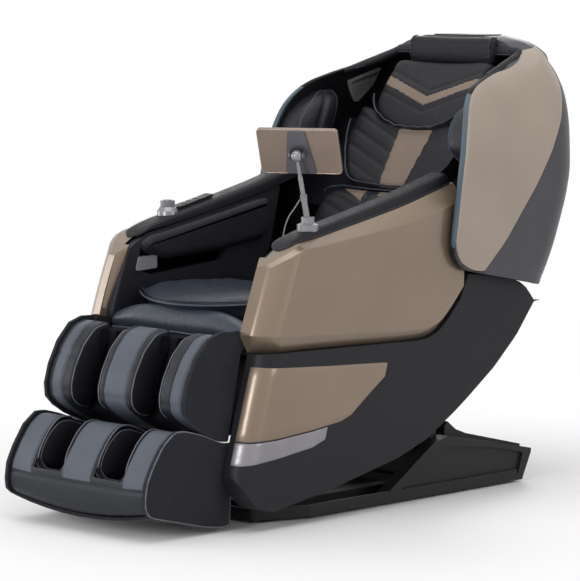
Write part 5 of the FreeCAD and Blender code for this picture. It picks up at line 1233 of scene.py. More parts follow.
    def airbags(self) -> None:
        """Makes the two-lobed airbags beside the shoulders, with piping round them."""
        shape = Shape("shoulder_airbag_covers", BAG_BLACK, PIPING_BLUE)
        rows = [(868, 192, 232, 22), (884, 172, 258, 60), (920, 154, 290, 86), (960, 160, 306, 82),
                (1000, 186, 320, 70), (1028, 222, 326, 47), (1046, 258, 318, 18)]
        y0s, y1s, thicks = ([(r[0], r[k]) for r in rows] for k in (1, 2, 3))
        rings, seams, valley = [], ([], []), []
        turns = np.linspace(0, np.pi, 37)
        for z in 957 + 89 * np.sin(np.linspace(-np.pi / 2, np.pi / 2, 36)):
            y0, y1, thick = (float(eased(r, z)) for r in (y0s, y1s, thicks))
            mid, half = 0.5 * (y0 + y1), 0.5 * (y1 - y0)
            ys = mid - half * np.cos(turns)
            dent = 1 - 0.22 * np.exp(-((ys - mid + 0.1 * half) / 8.0) ** 2)
            walls = self.across(ys, z, self.wall + 0.8)
            xs = walls - thick * np.sin(turns) ** 0.34 * dent
            rings.append(np.column_stack([xs, ys, np.full(37, z)]))
            for line, k in ((seams[0], 5), (seams[1], -6)):
                line.append((xs[k], ys[k], z))
            k = int(np.argmin(np.abs(ys - mid + 0.1 * half)))
            valley.append((xs[k] + 0.6, ys[k], z))
        shape.loft(rings)
        shape.tube(list(seams[0]) + list(seams[1])[::-1], 2.2, 1, closed=True, sides=8)
        shape.tube(valley[1:-1], 1.8, 1, sides=8)
        place(shape.both().made(1, 60), "back", "charcoal_leather", "shoulder_airbags", fill=0.8)

    def grilles(self) -> None:
        """Makes the speaker grilles: a plate with slots above and holes below."""
        gap, thick = 1.2, 8.2
        shape = Shape("speaker_grille_plates", SPEAKER)
        rows = [(1010, 440, 454), (1040, 411, 488), (1056, 396, 503), (1072, 382, 506), (1090, 444, 506),
                (1104, 490, 505)]
        fronts, rears = [r[:2] for r in rows], [(r[0], r[2]) for r in rows]
        rings, spots, ways, holes = [], [], [], []
        for z in np.linspace(1010, 1104, 30):
            ys = np.linspace(float(straight(fronts, z)), float(straight(rears, z)), 12)
            x = self.across(ys, z, self.wall + gap)
            outer = np.column_stack([x - thick, ys, np.full(12, z)])
            outer[[0, -1], 0] += 1.6
            rings.append(np.vstack([outer, np.column_stack([x, ys, np.full(12, z)])[::-1]]))
        shape.loft(rings)
        place(shape.both().made(1, 30), "back", "motor_steel", "speaker_grilles")
        for y in range(402, 498, 9):
            z = 1060 + 0.26 * (y - 383)
            x = float(self.across(y, z, self.wall + gap)) - thick
            for side in (1, -1):
                spots.append((side * x, y, z))
                ways.append((side * -0.45, 0.3, 0.85))
        slats = Repeat("speaker_slots", INNER_DARK_AND_SHADE, 8).on(spots, ways, 14, 3.4, 3.4)
        place(slats, "back", "black_gloss")
        for j in range(4):
            for y in range(412 + 7 * j, 486 - 8 * j, 8):
                z = 1044 - 8 * j + 0.26 * (y - 400)
                x = float(self.across(y, z, self.wall + gap)) - thick
                holes += [(side * x, y, z) for side in (1, -1)]
        dots = Repeat("speaker_holes", INNER_DARK_AND_SHADE, 8).on(holes, [(1, 0, 0)] * len(holes), 1.4, 2.6, 2.6)
        place(dots, "back", "black_gloss")


@dataclass
class Backrest:
    """The leaning backrest: lumbar, back and head pads with sewn channels, bronze inlays and a liner."""

    foot: tuple[float, float] = (10.0, 520.0)
    lean: float = 35.1
    liner_depths: tuple[float, float] = (50.6, 56.4)

    def at(self, x: np.ndarray | float, s: np.ndarray | float, t: np.ndarray | float) -> np.ndarray:
        """Points across x, up the slope s and t behind its front face."""
        a = math.radians(self.lean)
        x, s, t = np.broadcast_arrays(np.asarray(x, float), s, t)
        return np.stack([x, self.foot[0] + s * math.sin(a) + t * math.cos(a),
                         self.foot[1] + s * math.cos(a) - t * math.sin(a)], -1)

    def _pad(self, shape: Shape, low: Rows, high: Rows, half: float, depth: Callable, back: float,
             paint: Callable, columns: int = 150, rows: int = 70) -> Callable:
        """Adds a pad whose lower and upper edges follow tables over x.

        Args:
            shape: the mesh that gets the pad.
            low: (|x|, s) of the lower edge.
            high: (|x|, s) of the upper edge.
            half: half the pad's width.
            depth: the front face's t from x and s.
            back: the rear face's t.
            paint: the finish's number from x and s.
            columns: faces across.
            rows: faces up the slope.

        Returns:
            A function from x and s to the point on the front face.
        """
        us = np.sin(np.linspace(-np.pi / 2, np.pi / 2, columns))
        vs = np.sin(np.linspace(-np.pi / 2, np.pi / 2, rows))
        us = 0.35 * us + 0.65 * np.linspace(-1, 1, columns)
        x = np.broadcast_to(us * half, (rows, columns))
        s0, s1 = eased(low, np.abs(x)), eased(high, np.abs(x))
        s = 0.5 * (s0 + s1) + 0.5 * (s1 - s0) * vs[:, None]
        edge = (1 - np.abs(us) ** 14) ** 0.5 * ((1 - np.abs(vs) ** 10) ** 0.5)[:, None]
        t = back + (depth(x, s) - back) * edge
        sheet = self.at(x, s, t)
        looks = paint(0.5 * (x[1:, 1:] + x[:-1, :-1]), 0.5 * (s[1:, 1:] + s[:-1, :-1])).astype(int)
        shape.grid(sheet, looks)
        shape.grid(self.at(x, s, np.full_like(t, back)))
        return lambda px, ps, lift=0.0: self.at(px, ps, depth(np.asarray(px, float), np.asarray(ps, float)) - lift)

    @staticmethod
    def _crowded(half: float, count: int) -> np.ndarray:
        """Places across a pad that crowd towards its sides."""
        right = half * np.sin(np.linspace(0, np.pi / 2, count))
        return np.concatenate([-right[::-1], right[1:]])

    @staticmethod
    def _groove(x: np.ndarray, s: np.ndarray, lines: Sequence[tuple[Spot, Spot]], deep: float,
                wide: float) -> np.ndarray:
        """How deep sewn channels press a pad in, on both of its sides."""
        total = np.zeros(np.broadcast(x, s).shape)
        px = np.abs(x)
        for (ax, a_s), (bx, b_s) in lines:
            dx, ds = bx - ax, b_s - a_s
            k = np.clip(((px - ax) * dx + (s - a_s) * ds) / (dx * dx + ds * ds), 0, 1)
            far = np.hypot(px - ax - k * dx, s - a_s - k * ds)
            total = np.maximum(total, deep * np.exp(-((far / wide) ** 2)))
        return total

    def lumbar(self) -> None:
        """Makes the lumbar pad with its quilting and two bronze stripes."""
        lines = [((62, s), (196, s + 50)) for s in (60, 120, 180, 235)] + [((60, 275), (206, 316))]
        sewn = [((62, 30), (58, 335)), ((60, 295), (196, 345))]

        def depth(x: np.ndarray, s: np.ndarray) -> np.ndarray:
            """How far back the face lies."""
            base = 16 - 16 * np.clip(np.abs(x) / 190, 0, 1) ** 1.6
            return base + self._groove(x, s, lines, 2.4, 7) + self._groove(x, s, sewn, 3, 5) - 2

        def paint(x: np.ndarray, s: np.ndarray) -> np.ndarray:
            """Which finish is where."""
            line = 300 + (np.abs(x) - 72) * 0.45
            bronze = (np.abs(x) > 72) & (np.abs(x) < 178) & (s > line) & (s < line + 34)
            middle = (np.abs(x) < 26) & (s > 322)
            return np.where(bronze | middle, 1, np.where(np.abs(x) < 60, 2, 0))

        shape = Shape("lumbar_pad_cover", CHARCOAL, BRONZE_HIDE, NAVY, PIPING_NAVY)
        low = [(0, 12), (170, 14), (205, 24), (222, 48)]
        high = [(0, 346), (150, 346), (196, 332), (222, 300)]
        on = self._pad(shape, low, high, 222, depth, 50, paint)
        hem = [on(x, float(eased(high, abs(x))) - 9, 1.0) for x in np.linspace(-206, 206, 80)]
        shape.tube(hem, 2.6, 3)
        place(shape.made(1, 70), "back", "charcoal_leather", "lumbar_pad", fill=0.6)
        self._stitch("lumbar_pad_stitches", on, [[(x, s) for s in np.linspace(40, 330, 60)] for x in (65, 53)])

    def _stitch(self, name: str, on: Callable, lines: Sequence[Sequence[tuple[float, float]]]) -> None:
        """Sews lines of (x, s) on both sides of a pad."""
        runs = [[tuple(on(side * x, s, 0.5)) for x, s in line] for line in lines for side in (1, -1)]
        place(Repeat(name, THREAD_DARK).along(runs, 6.0, 4.0, 0.9, 0.9), "back", "charcoal_leather")

    def back(self) -> None:
        """Makes the back pad: slanting channels each side of a bronze middle."""
        lines = [((62, s), (214, s + 62)) for s in (372, 417, 462, 507, 552)]
        sewn = [((44, 352), (60, 528)), ((60, 528), (60, 600))]

        def depth(x: np.ndarray, s: np.ndarray) -> np.ndarray:
            """How far back the face lies."""
            base = 22 - 24 * np.clip(np.abs(x) / 215, 0, 1) ** 1.5
            return base + self._groove(x, s, lines, 2.4, 7) + self._groove(x, s, sewn, 3, 5)

        def paint(x: np.ndarray, s: np.ndarray) -> np.ndarray:
            """Which finish is where."""
            half = 44 + (s - 352) * 0.09
            return np.where((np.abs(x) < half) & (s > 356) & (s < 540), 1, 0)

        shape = Shape("back_pad_cover", CHARCOAL, BRONZE_HIDE, PIPING_NAVY)
        low = [(0, 349), (120, 352), (150, 362), (172, 386), (200, 440), (224, 505), (236, 560)]
        high = [(0, 560), (120, 566), (190, 600), (222, 606), (236, 590)]
        on = self._pad(shape, low, high, 236, depth, 50, paint, 170, 80)
        hem = [on(x, float(eased(low, abs(x))) + 7, 1.0) for x in self._crowded(232, 70)]
        shape.tube(hem, 2.8, 2)
        place(shape.made(1, 70), "back", "charcoal_leather", "back_pad", fill=0.6)
        self._stitch("back_pad_stitches", on, [
            [(44 + (s - 352) * 0.09 + 4, s) for s in np.linspace(360, 536, 50)],
            [(x, float(eased(low, x)) + 15) for x in np.linspace(2, 226, 90)]])

    def head(self) -> None:
        """Makes the head pad with a bronze chevron and a scalloped lower edge."""
        low = [(0, 530), (60, 531), (100, 542), (140, 562), (168, 592), (180, 624)]
        high = [(0, 762), (140, 762), (168, 756), (180, 742)]
        lines = [((0, 588), (160, 640)), ((0, 655), (172, 716))]

        def depth(x: np.ndarray, s: np.ndarray) -> np.ndarray:
            """How far back the face lies."""
            base = 10 - 16 * np.clip(np.abs(x) / 175, 0, 1) ** 1.7 - 6 * np.exp(-((s - 640) / 60) ** 2)
            return base + self._groove(x, s, lines, 2, 6)

        def paint(x: np.ndarray, s: np.ndarray) -> np.ndarray:
            """Which finish is where."""
            line = 608 + np.abs(x) * 0.36
            return np.where((s > line) & (s < line + 27) & (np.abs(x) < 166), 1, 0)

        shape = Shape("head_pad_cover", CHARCOAL, BRONZE_HIDE, PIPING_NAVY)
        on = self._pad(shape, low, high, 180, depth, 50, paint, 150, 90)
        hem = [on(x, float(eased(low, abs(x))) + 8 + 1.2 * math.cos(x / 7), 1.2) for x in self._crowded(177, 90)]
        shape.tube(hem, 3.0, 2)
        place(shape.made(1, 70), "back", "navy_leather", "head_pad", fill=0.6)
        chevron = [[(x, s + x * 0.36) for x in np.linspace(1, 164, 60)] for s in (604, 639)]
        self._stitch("head_pad_stitches", on, chevron + [
            [(x, float(eased(low, x)) + 17) for x in np.linspace(1, 176, 80)]])

    def liner(self, hood: Hood) -> None:
        """Makes the soft liner that fills the hood behind the pads."""
        shape = Shape("back_liner_cover", BLACK_FABRIC)
        sheets = []
        for t in self.liner_depths:
            rows = []
            for s in np.concatenate([np.linspace(299, 574, 36), np.linspace(576, 590, 8), np.linspace(597, 742, 18)]):
                spot = self.at(0, s, t)
                edge = float(hood.across(spot[1], min(spot[2], 1158), hood.wall + 0.6))
                edge = min(edge, 351.0, 351.0 if s < 576 else float(np.interp(s, [576, 590], [351, 205])))
                x = np.linspace(-edge, edge, 60)
                rows.append(self.at(x, s, np.full(60, t)))
            sheets.append(np.array(rows))
        shape.loft([rim(g) for g in sheets], 0, caps=False)
        for g in sheets:
            shape.grid(g)
        corners = np.array([-222.0, 222, 222, -222]), np.array([8.0, 8, 300, 300])
        shape.loft([self.at(*corners, t) for t in self.liner_depths])
        place(shape.made(1, 40), "back", "charcoal_leather", "back_liner", fill=0.3)

    def pillow(self) -> None:
        """Makes the head pillow with gathered ends, and the strap that it hangs from."""
        y, z, half, crown = 503.0, 1197.0, 156.0, 14.0
        outline = [(y - 8, z - 82), (y - 24, z - 76), (y - 32, z - 50), (y - 32, z - 14), (y - 22, z - 1), (y - 4, z),
                   (y + 3, z - 6), (y + 3, z - 70)]
        line = ringed(outline, 14, 56)
        centre = line.mean(0)
        shape = Shape("head_pillow_cover", CHARCOAL, PIPING_NAVY)
        rings = []
        for x in stations(-half, half, crown, 8, 70)[0]:
            end = max(0.0, (abs(x) - half + crown) / crown)
            size = max(0.18, math.sqrt(max(0.0, 1 - end**2)))
            angle = np.arctan2(line[:, 1] - centre[1], line[:, 0] - centre[0])
            gather = 0.05 * np.exp(-((half - abs(x)) / 26) ** 2) * np.cos(13 * angle)
            sag = 1.0 - 0.03 * math.cos(x / 60)
            ring = centre + (line - centre) * (size * (1 + gather) * sag)[:, None]
            ring[:, 1] = np.minimum(ring[:, 1], z)
            rings.append(at_x(ring, x))
        shape.loft(rings)
        for x in (-143.0, 143.0):
            shape.tube(at_x(centre + (line - centre) * 1.015, x), 2.0, 1, closed=True, sides=6)
        place(shape.made(1, 60), "pillow", "navy_leather", "head_pillow", fill=0.8)
        strap = Shape("pillow_strap_cover", NAVY)
        strap.block([(507, 1200.4), (585, 1200.4), (585, 1203.2), (507, 1203.2)], -90, 90, 0, 0.8)
        place(strap.made(1, 30), "back", "navy_leather", "pillow_strap", fill=0.1)


@dataclass
class Seat:
    """The seat cushion with its double-piped lip, and the glossy apron under it."""

    half: float = 232.0
    front: float = -573.0
    sweep: float = 98.0
    top: float = 552.0
    rear: float = -8.0
    low: float = 436.4

    def cushion(self) -> None:
        """Makes the seat cushion."""
        shape = Shape("seat_cushion_cover", SEAT_NAVY, PIPING_NAVY)
        rings = []
        lips: list[list[Spot]] = [[], []]
        for x, drop in zip(*stations(-self.half, self.half, 14, 9, 80)):
            share = (x / self.half) ** 2
            f, t = self.front + self.sweep * share, self.top + 12 * share
            side = 9 * share
            line = [(f + 66, self.low), (f + 52, 500), (f + 20, t - 24), (f + 2, t - 10), (f + 2, t - 5),
                    (f + 16, t - 3), (f + 60, t + side), (-330, t + 3 + side), (-180, t - 6 + side),
                    (self.rear, t - 28), (self.rear, self.low)]
            line = [(self.rear + (y - self.rear) * (1 - drop / 500), self.low + (z - self.low) * (1 - drop / 120))
                    for y, z in line]
            rings.append(at_x(ringed(line, 9, 120), x))
            if abs(x) < self.half - 2:
                lips[0].append((x, f + 3 + 0.5 * drop, t - 11 - drop))
                lips[1].append((x, f + 12 + 0.5 * drop, t - 2.6 - drop))
        shape.loft(rings)
        body = shape.made(1, 60)
        puffed(body, 6.0, 6.0)
        place(body, "seat", "navy_leather", "seat_cushion", fill=0.8)
        trim = Shape("seat_lip_piping", PIPING_NAVY, PIPING_BLUE)
        trim.tube(lips[0], 2.6, 1)
        trim.tube(lips[1], 2.2, 0)
        place(trim.made(1, 60), "seat", "navy_leather", fill=0.9)
        runs = [[(x, y + 9, z + 2.0) for x, y, z in lips[1][6:-6]]]
        place(Repeat("seat_lip_stitches", THREAD_DARK).along(runs, 7, 4.6), "seat", "navy_leather")

    def apron(self) -> None:
        """Makes the puffy apron with light piping near its lower edge."""
        f = -562.0
        outline = [(f + 34, self.low), (f + 12, self.low), (f + 3, 462), (f - 4, 480), (f - 3, 500), (f + 6, 520),
                   (f + 20, 532), (f + 34, 530), (f + 38, 480)]
        shape = Shape("seat_apron_cover", NAVY_GLOSS, PIPING)
        line = ringed(outline, 9, 70)
        rings, pipe = [], []
        for x, drop in zip(*stations(-241, 241, 8, 7, 60)):
            share = np.clip((abs(x) - 110) / 131, 0, 1) ** 2
            ring = shrunk(line, drop)
            ring[:, 1] -= np.clip(ring[:, 1] - 472, 0, None) * 0.5 * share
            rings.append(at_x(ring, x))
            pipe.append((x, f - 2.6 + drop, 470 - 0.02 * abs(x)))
        shape.loft(rings)
        shape.tube(pipe, 1.7, 1)
        place(shape.made(1, 60), "seat", "navy_leather", "seat_apron", fill=0.7)
        place(Repeat("seat_apron_stitches", THREAD_DARK).along(
            [[(x, y - 1.6, z + 8) for x, y, z in pipe[7:-7]]], 7, 4.6), "seat", "navy_leather")


# The leg rest


def domed(line: np.ndarray, x: float, rim_rows: Rows, high: float) -> np.ndarray:
    """Rings of a low padded cover over a (y, z) outline: a rolled edge, then a flat dome.

    Args:
        line: the outline.
        x: where the cover starts.
        rim_rows: (distance in, height) of the rings at the edge.
        high: the dome's height.

    Returns:
        The rings, as (rings, points, 3).
    """
    rings = [at_x(shrunk(line, d), x + h) for d, h in rim_rows]
    last, middle = rings[-1], rings[-1].mean(0)
    for share in (0.12, 0.35, 0.7):
        ring = last + (middle - last) * share
        ring[:, 0] = x + rim_rows[-1][1] + (high - rim_rows[-1][1]) * min(1.0, 3 * share)
        rings.append(ring)
    return np.array(rings)


def well_bags(name: str, body: str, lens: Rows, count: int, swell: Spot, pipe: Spot) -> None:
    """Makes the lens-shaped bags on the walls of a rest's two wells, outlined with grey piping.

    Args:
        name: the piece.
        body: the body it moves with.
        lens: the (y, z) outline.
        count: points round each bag.
        swell: the bags' distance from the wall, half their thickness and how far they are drawn in.
        pipe: the piping's corner radius, distance from the wall and radius.
    """
    bags = Shape(name, BLACK_FABRIC, PIPING)
    for x, way in WELL_WALLS:
        for side in (1, -1):
            cushion(bags, lens, side * (x + swell[0] * way), swell[1], swell[2], count, 10)
            line = at_x(ringed(lens, pipe[0], 110), side * (x + pipe[1] * way))
            bags.tube(line, pipe[2], 1, closed=True, sides=8)
    place(bags.made(1, 60), body, "charcoal_fabric", fill=0.9)


@dataclass
class CalfRest:
    """The calf rest: three padded bands, two fabric wells between them and piped side panels."""

    spans: tuple[tuple[float, float], ...] = ((-251.9, -165.0), (-60.0, 60.0), (165.0, 251.9))
    outline: Rows = ((-649.6, 227.8), (-620, 400), (-633, 485), (-653, 490), (-690, 480), (-730, 438),
                     (-760, 383), (-774, 336), (-770, 305), (-748, 283), (-710, 258))
    creases: Rows = ((-744, 413), (-773, 322))
    rim: Rows = ((-618, 497), (-652, 498), (-693, 485), (-734, 442), (-764, 385), (-778, 336), (-775, 302),
                 (-752, 278), (-712, 252), (-653, 226), (-631, 224))

    def bands(self) -> None:
        """Makes the three bands with grey middles and navy borders, dented at their creases."""
        shape = Shape("calf_band_covers", NAVY, BAND_GREY, PIPING_NAVY)
        threads = []
        line = ringed(self.outline, 16, 120)
        crease = sum(np.exp(-((np.hypot(line[:, 0] - y, line[:, 1] - z)) / 5.0) ** 2) for y, z in self.creases)
        for x0, x1 in self.spans:
            xs, drop = stations(x0, x1, 8.0, 8, 26)
            middle, edge = (0.0, 40.0) if x0 < 0 < x1 else (math.copysign(220.0, x0), 18.0)
            rings = []
            for x, d in zip(xs, drop):
                sewn = 1.6 * math.exp(-((abs(x - middle) - edge) / 2.6) ** 2)
                ring = shrunk(line, d + sewn)
                rings.append(at_x(ring + (line.mean(0) - ring) * 0.02 * crease[:, None], x))
            mid = 0.5 * (xs[1:] + xs[:-1])
            looks = np.where(np.abs(mid - middle) < edge, 1, 0)
            shape.loft(rings, np.repeat(looks[:, None], 120, axis=1))
            front = line[(line[:, 0] < -632) & (line[:, 1] > 262) | (line[:, 0] < -700)]
            front = front[np.argsort(-front[:, 1] + 0.001 * front[:, 0])]
            for way in (-1, 1):
                x = middle + way * edge
                threads += [[(x + step, y - 0.9, z + 0.5) for y, z in front] for step in (-3, 3)]
        place(shape.made(1, 60), "calf", "navy_leather", "calf_cushion", fill=0.8)
        place(Repeat("calf_band_stitches", THREAD).along(threads, 6.5, 4.4, 1.0, 1.0), "calf", "navy_leather")

    def wells(self) -> None:
        """Makes the wells' fabric floors and the lens-shaped bags on their walls, outlined with grey piping."""
        floors = Shape("calf_well_floors", BLACK_FABRIC)
        rings = []
        for x in np.linspace(-222, 222, 90):
            inside = min(abs(abs(x) - 112.5) / 52.5, 1.0)
            dip = 6 * (1 - inside**2)
            line = [(-649.6, 227.8), (-616.6, 403.8), (-626, 478), (-655, 468), (-674 + dip, 400), (-694 + dip, 330),
                    (-700 + dip, 268)]
            rings.append(at_x(ringed(line, 12, 50), x))
        floors.loft(rings)
        place(floors.made(1, 60), "calf", "charcoal_fabric", fill=0.4)
        lens = [(-645, 486), (-688, 476), (-727, 438), (-757, 384), (-771, 338), (-767, 304), (-744, 284),
                (-708, 278), (-682, 330), (-656, 404)]
        well_bags("calf_well_bags", "calf", lens, 110, (1.0, 23.0, 44.0), (12, 1.6, 1.7))

    def sides(self) -> None:
        """Makes the padded covers and the piping on the outer side plates."""
        shape = Shape("calf_side_covers", FABRIC, PIPING)
        line = ringed(self.rim, 10, 120)
        shape.loft(domed(line, 260.5, ((0.2, 0.0), (0.5, 0.7), (1.0, 1.0)), 1.1))
        shape.tube(at_x(shrunk(line, 1.4), 260.4)[:-8], 1.4, 1, sides=8)
        place(shape.both().made(1, 60), "calf", "charcoal_fabric", fill=0.3)


@dataclass
class FootRest:
    """The foot rest: grey bands over navy sides, two fabric foot wells with pockets and a bowed apron."""

    half: float = 251.9
    bow: float = 28.0
    rows: tuple[Spot, ...] = (
        (-668, 204, 0), (-726, 240, 0), (-777, 261, 0), (-809, 262, 0), (-846, 234, 0), (-880, 185, 0),
        (-900, 146, 0.1), (-906, 106, 0.35), (-903, 86, 0.8), (-889, 73, 1), (-713, 29, 0.35), (-672, 22.5, 0))
    well: Rows = ((-862, 108), (-886, 142), (-930, 146), (-930, 330), (-640, 330), (-672, 214), (-690, 64))
    roller: Spot = (-782.0, 68.5, 14.5)
    rim: Rows = ((-653, 223.5), (-700, 243), (-724, 252), (-776, 266), (-810, 267), (-850, 238), (-885, 187),
                 (-905, 147), (-911, 106), (-908, 80), (-890, 64), (-713, 20), (-660, 12), (-626, 14), (-617, 221))

    def _bowed(self, x: float) -> np.ndarray:
        """The (y, z) outline at this x."""
        bow = self.bow * (1 - (x / 262) ** 2)
        return np.array([(y, z - share * bow) for y, z, share in self.rows])

    @staticmethod
    def _seam(x: float | np.ndarray) -> float | np.ndarray:
        """Height of the seam under the bands."""
        return 128 - 6 * (1 - (x / 252) ** 2)

    def _front(self, x: float, z: float) -> float:
        """Where the front face stands at this height."""
        line = self._bowed(x)[3:10]
        order = np.argsort(line[:, 1])
        return float(np.interp(z, line[order, 1], line[order, 0]))

    def block(self) -> None:
        """Makes the padded block with its two wells."""
        shape = Shape("foot_block_cover", NAVY)
        rings = []
        for x, d in zip(*stations(-self.half, self.half, 9, 7, 110)):
            edge = min(abs(abs(x) - 60), abs(abs(x) - 165)) if abs(x) < 245 else 99
            soft = 3.0 * math.exp(-((edge / 7) ** 2))
            line = ringed(self._bowed(x), 16, 130)
            seam = np.exp(-((line[:, 1] - self._seam(x)) / 3.5) ** 2) * (line[:, 0] < -840)
            ring = shrunk(line, d + soft * np.clip((line[:, 1] - 140) / 16, 0, 1))
            ring[:, 0] += 3.0 * seam
            rings.append(at_x(ring, x))
        shape.loft(rings)
        piece = shape.made(1, 60)
        tools = []
        y, z, radius = self.roller
        for side in (1, -1):
            tool = Shape("well_tool", BLACK_FABRIC)
            tool.block(rounded(self.well, 14), 60, 165, 0, 5.0)
            tools.append(tool.made(side))
            hole = Shape("roller_tool", BLACK_FABRIC)
            hole.block([(y + radius * math.cos(a), z + radius * math.sin(a)) for a in circle(32)], 64, 161)
            tools.append(hole.made(side))
        piece = carved(piece, *tools)

        def rule(c: np.ndarray, n: np.ndarray) -> np.ndarray:
            """Fabric in the wells, grey on the bands, navy elsewhere."""
            ax = np.abs(c[:, 0])
            inside = (ax > 60.2) & (ax < 164.8) & (c[:, 1] > -891) & (c[:, 2] > 56)
            wall = inside | (((np.abs(ax - 60) < 6) | (np.abs(ax - 165) < 6)) & (np.abs(n[:, 0]) > 0.8))
            top = (c[:, 2] > self._seam(c[:, 0]) + 6) & (n[:, 1] < 0.6)
            band = top & ((ax < 52) | ((ax > 173) & (ax < 243)))
            return np.where(wall, 2, np.where(band, 1, 0))

        painted(piece, (NAVY, BAND_GREY, BLACK_FABRIC), rule)
        place(piece, "foot", "navy_leather", "foot_cushion", fill=0.8)

    def trims(self) -> None:
        """Makes the piping, stitches, well bags and folded pockets."""
        trim = Shape("foot_piping", PIPING, PIPING_NAVY)
        edge = [(-886, 138), (-884, 166), (-876, 190), (-846, 234), (-812, 262), (-778, 262), (-728, 241),
                (-684, 214)]
        line = evenly(rounded(edge, 18, closed=False), 80)
        for side in (1, -1):
            for x in (61.5, 163.5):
                trim.tube([(side * x, y + 0.4, z - 0.6) for y, z in line], 1.7, 0)
        seam = [(x, self._front(x, self._seam(x)) + 1.4, self._seam(x)) for x in np.linspace(-246, 246, 90)]
        trim.tube(seam, 1.5, 1)
        place(trim.made(1, 60), "foot", "navy_leather", fill=0.9)
        lens = [(-688, 210), (-728, 232), (-780, 250), (-812, 248), (-846, 220), (-872, 180), (-876, 146), (-850, 118),
                (-740, 100), (-700, 140)]
        well_bags("foot_well_bags", "foot", lens, 100, (0.5, 21.0, 40.0), (14, 1.4, 1.6))
        pockets = Shape("foot_pocket_folds", BLACK_FABRIC, PIPING_NAVY)
        for side in (1, -1):
            rings, rolls = [], ([], [])
            for t in np.linspace(-1, 1, 25):
                x, rise = 112.5 + 50.5 * t, 26 * abs(t) ** 3.5
                ring = [(-864, 112), (-878, 114), (-885, 130 + rise), (-878, 142 + rise), (-864, 137 + rise),
                        (-852, 118 + 0.5 * rise), (-854, 106)]
                line = ringed(ring, 6, 26)
                line[:, 0] += self._front(x, 130) + 896
                rings.append(at_x(line, side * x))
                for run, k in zip(rolls, (10, 14)):
                    run.append(tuple(rings[-1][k]))
            pockets.loft(rings)
            for run in rolls:
                pockets.tube(run, 1.6, 1)
        place(pockets.made(1, 60), "foot", "charcoal_fabric", fill=0.6)
        runs = []
        for x in (50.0, 175.0, 241.0):
            line = evenly(rounded(self._bowed(x)[:8], 16, closed=False), 90)
            runs += [[(side * x, y - 0.7, z + 0.7) for y, z in line if z > 136] for side in (1, -1)]
        place(Repeat("foot_band_stitches", THREAD).along(runs, 6.5, 4.4, 1.0, 1.0), "foot", "navy_leather")

    def sides(self) -> None:
        """Makes the padded covers and the piping on the outer side plates."""
        shape = Shape("foot_side_covers", FABRIC, PIPING)
        line = ringed(self.rim, 12, 130)
        shape.loft(domed(line, 261.2, ((0.6, 0.0), (1.2, 1.3), (3.2, 2.4)), 3.6))
        shape.tube(at_x(shrunk(line, 1.4), 261.6), 1.8, 1, closed=True, sides=8)
        place(shape.both().made(1, 60), "foot", "charcoal_fabric", fill=0.3)


# What stands on the arms, and the frame


@dataclass
class Controls:
    """The knob, the button strip and the details round them on the right arm."""

    ribs: int = 48

    def build(self) -> None:
        """Dresses the cluster and adds the chrome cone, the knob's ribs and the strip's bright rim."""
        dress(BODY_DARK, "control_plate")
        dress(CHROME, "control_knob")
        dress(BUTTON, "button_1", "button_2", "button_3")
        low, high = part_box("control_knob")
        cx, cy = (low.x + high.x) * 500, (low.y + high.y) * 500
        z0, z1 = low.z * 1000, high.z * 1000
        turns = circle(self.ribs)

        def ring(radius: float, z: float) -> list[Spot]:
            """Points of a level circle round the knob's axis."""
            return [(cx + radius * math.cos(a), cy + radius * math.sin(a), z) for a in turns]

        cone = Shape("knob_flange", CHROME)
        cone.loft(np.array([ring(r, z0 + z) for r, z in (
            (27.6, -34), (28.6, -33), (28.6, -13), (28, -11.4), (21.4, -2), (20.4, -0.9), (18.4, -0.7))]))
        place(cone.made(1, 35), "seat", "stand_chrome")
        ribs = Repeat("knob_ribs", CHROME, 6).on(ring(18.2, 0.5 * (z0 + z1)), [(0, 0, 1)] * self.ribs,
                                                 z1 - z0 - 2.4, 1.9, 1.9)
        place(ribs, "knob", "stand_chrome")
        cap = Shape("knob_cap_ring", BLACK_GLOSS)
        cap.tube(ring(12.5, z1), 0.9, 0, closed=True, sides=6)
        place(cap.made(1, 60), "knob", "black_gloss")
        edge = Shape("control_strip_rim", CHROME)

        def top(y: float) -> float:
            """Height of the strip's face."""
            return float(np.interp(y, [-320, -283, -180], [747.8, 756.3, 779.6])) + 7.6

        path = [(cx + dx, y, top(y)) for dx, y in ((-12.6, -306), (-12.6, -184), (12.6, -184), (12.6, -306))]
        edge.tube(rounded(path, 4, closed=False), 1.4, 0, sides=6)
        place(edge.made(1, 60), "seat", "stand_chrome")


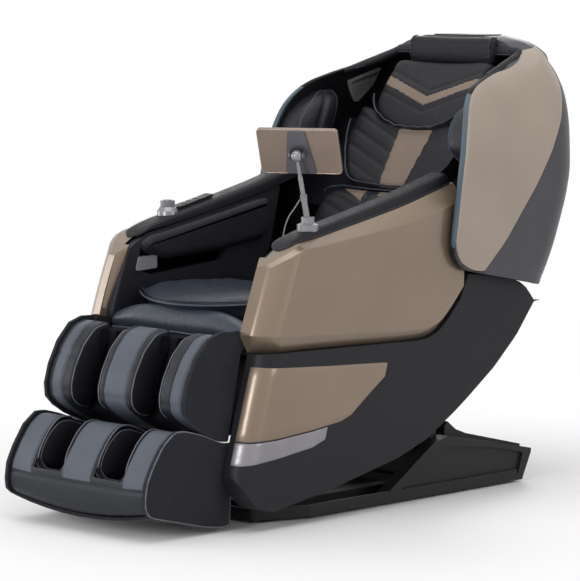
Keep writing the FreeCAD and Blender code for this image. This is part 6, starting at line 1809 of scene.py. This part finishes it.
@dataclass
class Tablet:
    """The tablet on its stand: a bronze back with a light edge on a jointed chrome stem."""

    centre: Spot = (268.0, -386.0, 934.0)
    wide: float = 210.0
    tall: float = 125.0
    turn: float = 28.0
    tip: float = 26.0

    def axes(self) -> tuple[np.ndarray, np.ndarray, np.ndarray]:
        """Unit vectors across the tablet, up its face and out of its back."""
        a, b = math.radians(self.turn), math.radians(self.tip)
        across = np.array([math.cos(a), math.sin(a), 0.0])
        away = np.array([math.sin(a), -math.cos(a), 0.0])
        high = np.array([0, 0, 1.0]) * math.cos(b) + away * math.sin(b)
        return across, high, np.cross(across, high)

    def build(self) -> None:
        """Dresses the stand and the tablet and adds the light edge."""
        dress(TABLET, "tablet_case")
        dress(SCREEN, "tablet_screen")
        dress(BRACKET, "tablet_bracket")
        dress(CHROME, "tablet_stand", "tablet_knuckle")
        dress(BASE_DARK, "cable_grommet", "cable_socket")
        across, high, back = self.axes()
        centre = np.array(self.centre)
        corners = [(sx * (self.wide / 2 - 0.8), sz * (self.tall / 2 - 0.8))
                   for sx, sz in ((-1, -1), (1, -1), (1, 1), (-1, 1))]
        line = rounded(corners, 11, steps=6)
        edge = Shape("tablet_edge_band", TABLET_EDGE)
        for depth, size in ((5.2, 0.9), (-5.0, 0.7)):
            edge.tube([centre + across * u + high * v - back * depth for u, v in line], size, 0, closed=True, sides=6)
        place(edge.made(1, 60), "tablet", "tablet_bronze")


@dataclass
class Frame:
    """The base, the wheels, the drives and the steel frames, which keep their shapes."""

    def build(self) -> None:
        """Dresses the nodes that stay and adds the screws of the rear cover."""
        dress(BASE_DARK, "base_shell", "power_inlet")
        dress(FLOOR_RUBBER, "floor_strips")
        dress(BLACK_STEEL, "base_frame", "seat_frame", "seat_pan", "back_frame")
        dress(WHEEL, "transport_wheel_l", "transport_wheel_r")
        dress(STEEL, "wheel_axles", "kneading_shaft")
        dress(MOTOR, "tilt_gear_motor", "recline_gear_motor", "massage_carriage")
        dress(BLACK_GLOSS, "power_rocker")
        dress(RUBBER, "kneading_wheels", "foot_rollers")
        dress(HOOD_DARK, "rear_cover")
        dress(BUTTON, "hand_blocks")
        dress(FABRIC, "calf_frame", "foot_shell")
        spots = [(x, 436, 492) for x in (-250, -125, 0, 125, 250)] + [(x, 208, 276) for x in (-250, -84, 84, 250)]
        ways = [(0, 0.78, -0.62)] * 5 + [(0, 0.56, -0.83)] * 4
        screws = Repeat("rear_cover_screws", STEEL, 12).on(spots, ways, 2.4, 8.0, 8.0)
        place(screws, "seat", "axle_steel")


def main() -> None:
    """Builds the room, then the chair from its cable and base to its hood."""
    logging.basicConfig(level=logging.INFO, format="%(message)s")
    Studio().build()
    TabletCable().build()
    Frame().build()
    side = SideBody()
    arm = Arm()
    for way in (1, -1):
        side.build(way)
        arm.shell(way)
        arm.pad(way)
        arm.lining(way)
    side.trims()
    hood = Hood()
    hood.shell()
    hood.panel(1)
    hood.panel(-1)
    hood.rims()
    hood.header()
    hood.airbags()
    hood.grilles()
    rest = Backrest()
    rest.lumbar()
    rest.back()
    rest.head()
    rest.liner(hood)
    rest.pillow()
    seat = Seat()
    seat.cushion()
    seat.apron()
    calf = CalfRest()
    calf.bands()
    calf.wells()
    calf.sides()
    foot = FootRest()
    foot.block()
    foot.trims()
    foot.sides()
    Controls().build()
    Tablet().build()


if __name__ == "__main__":
    main()
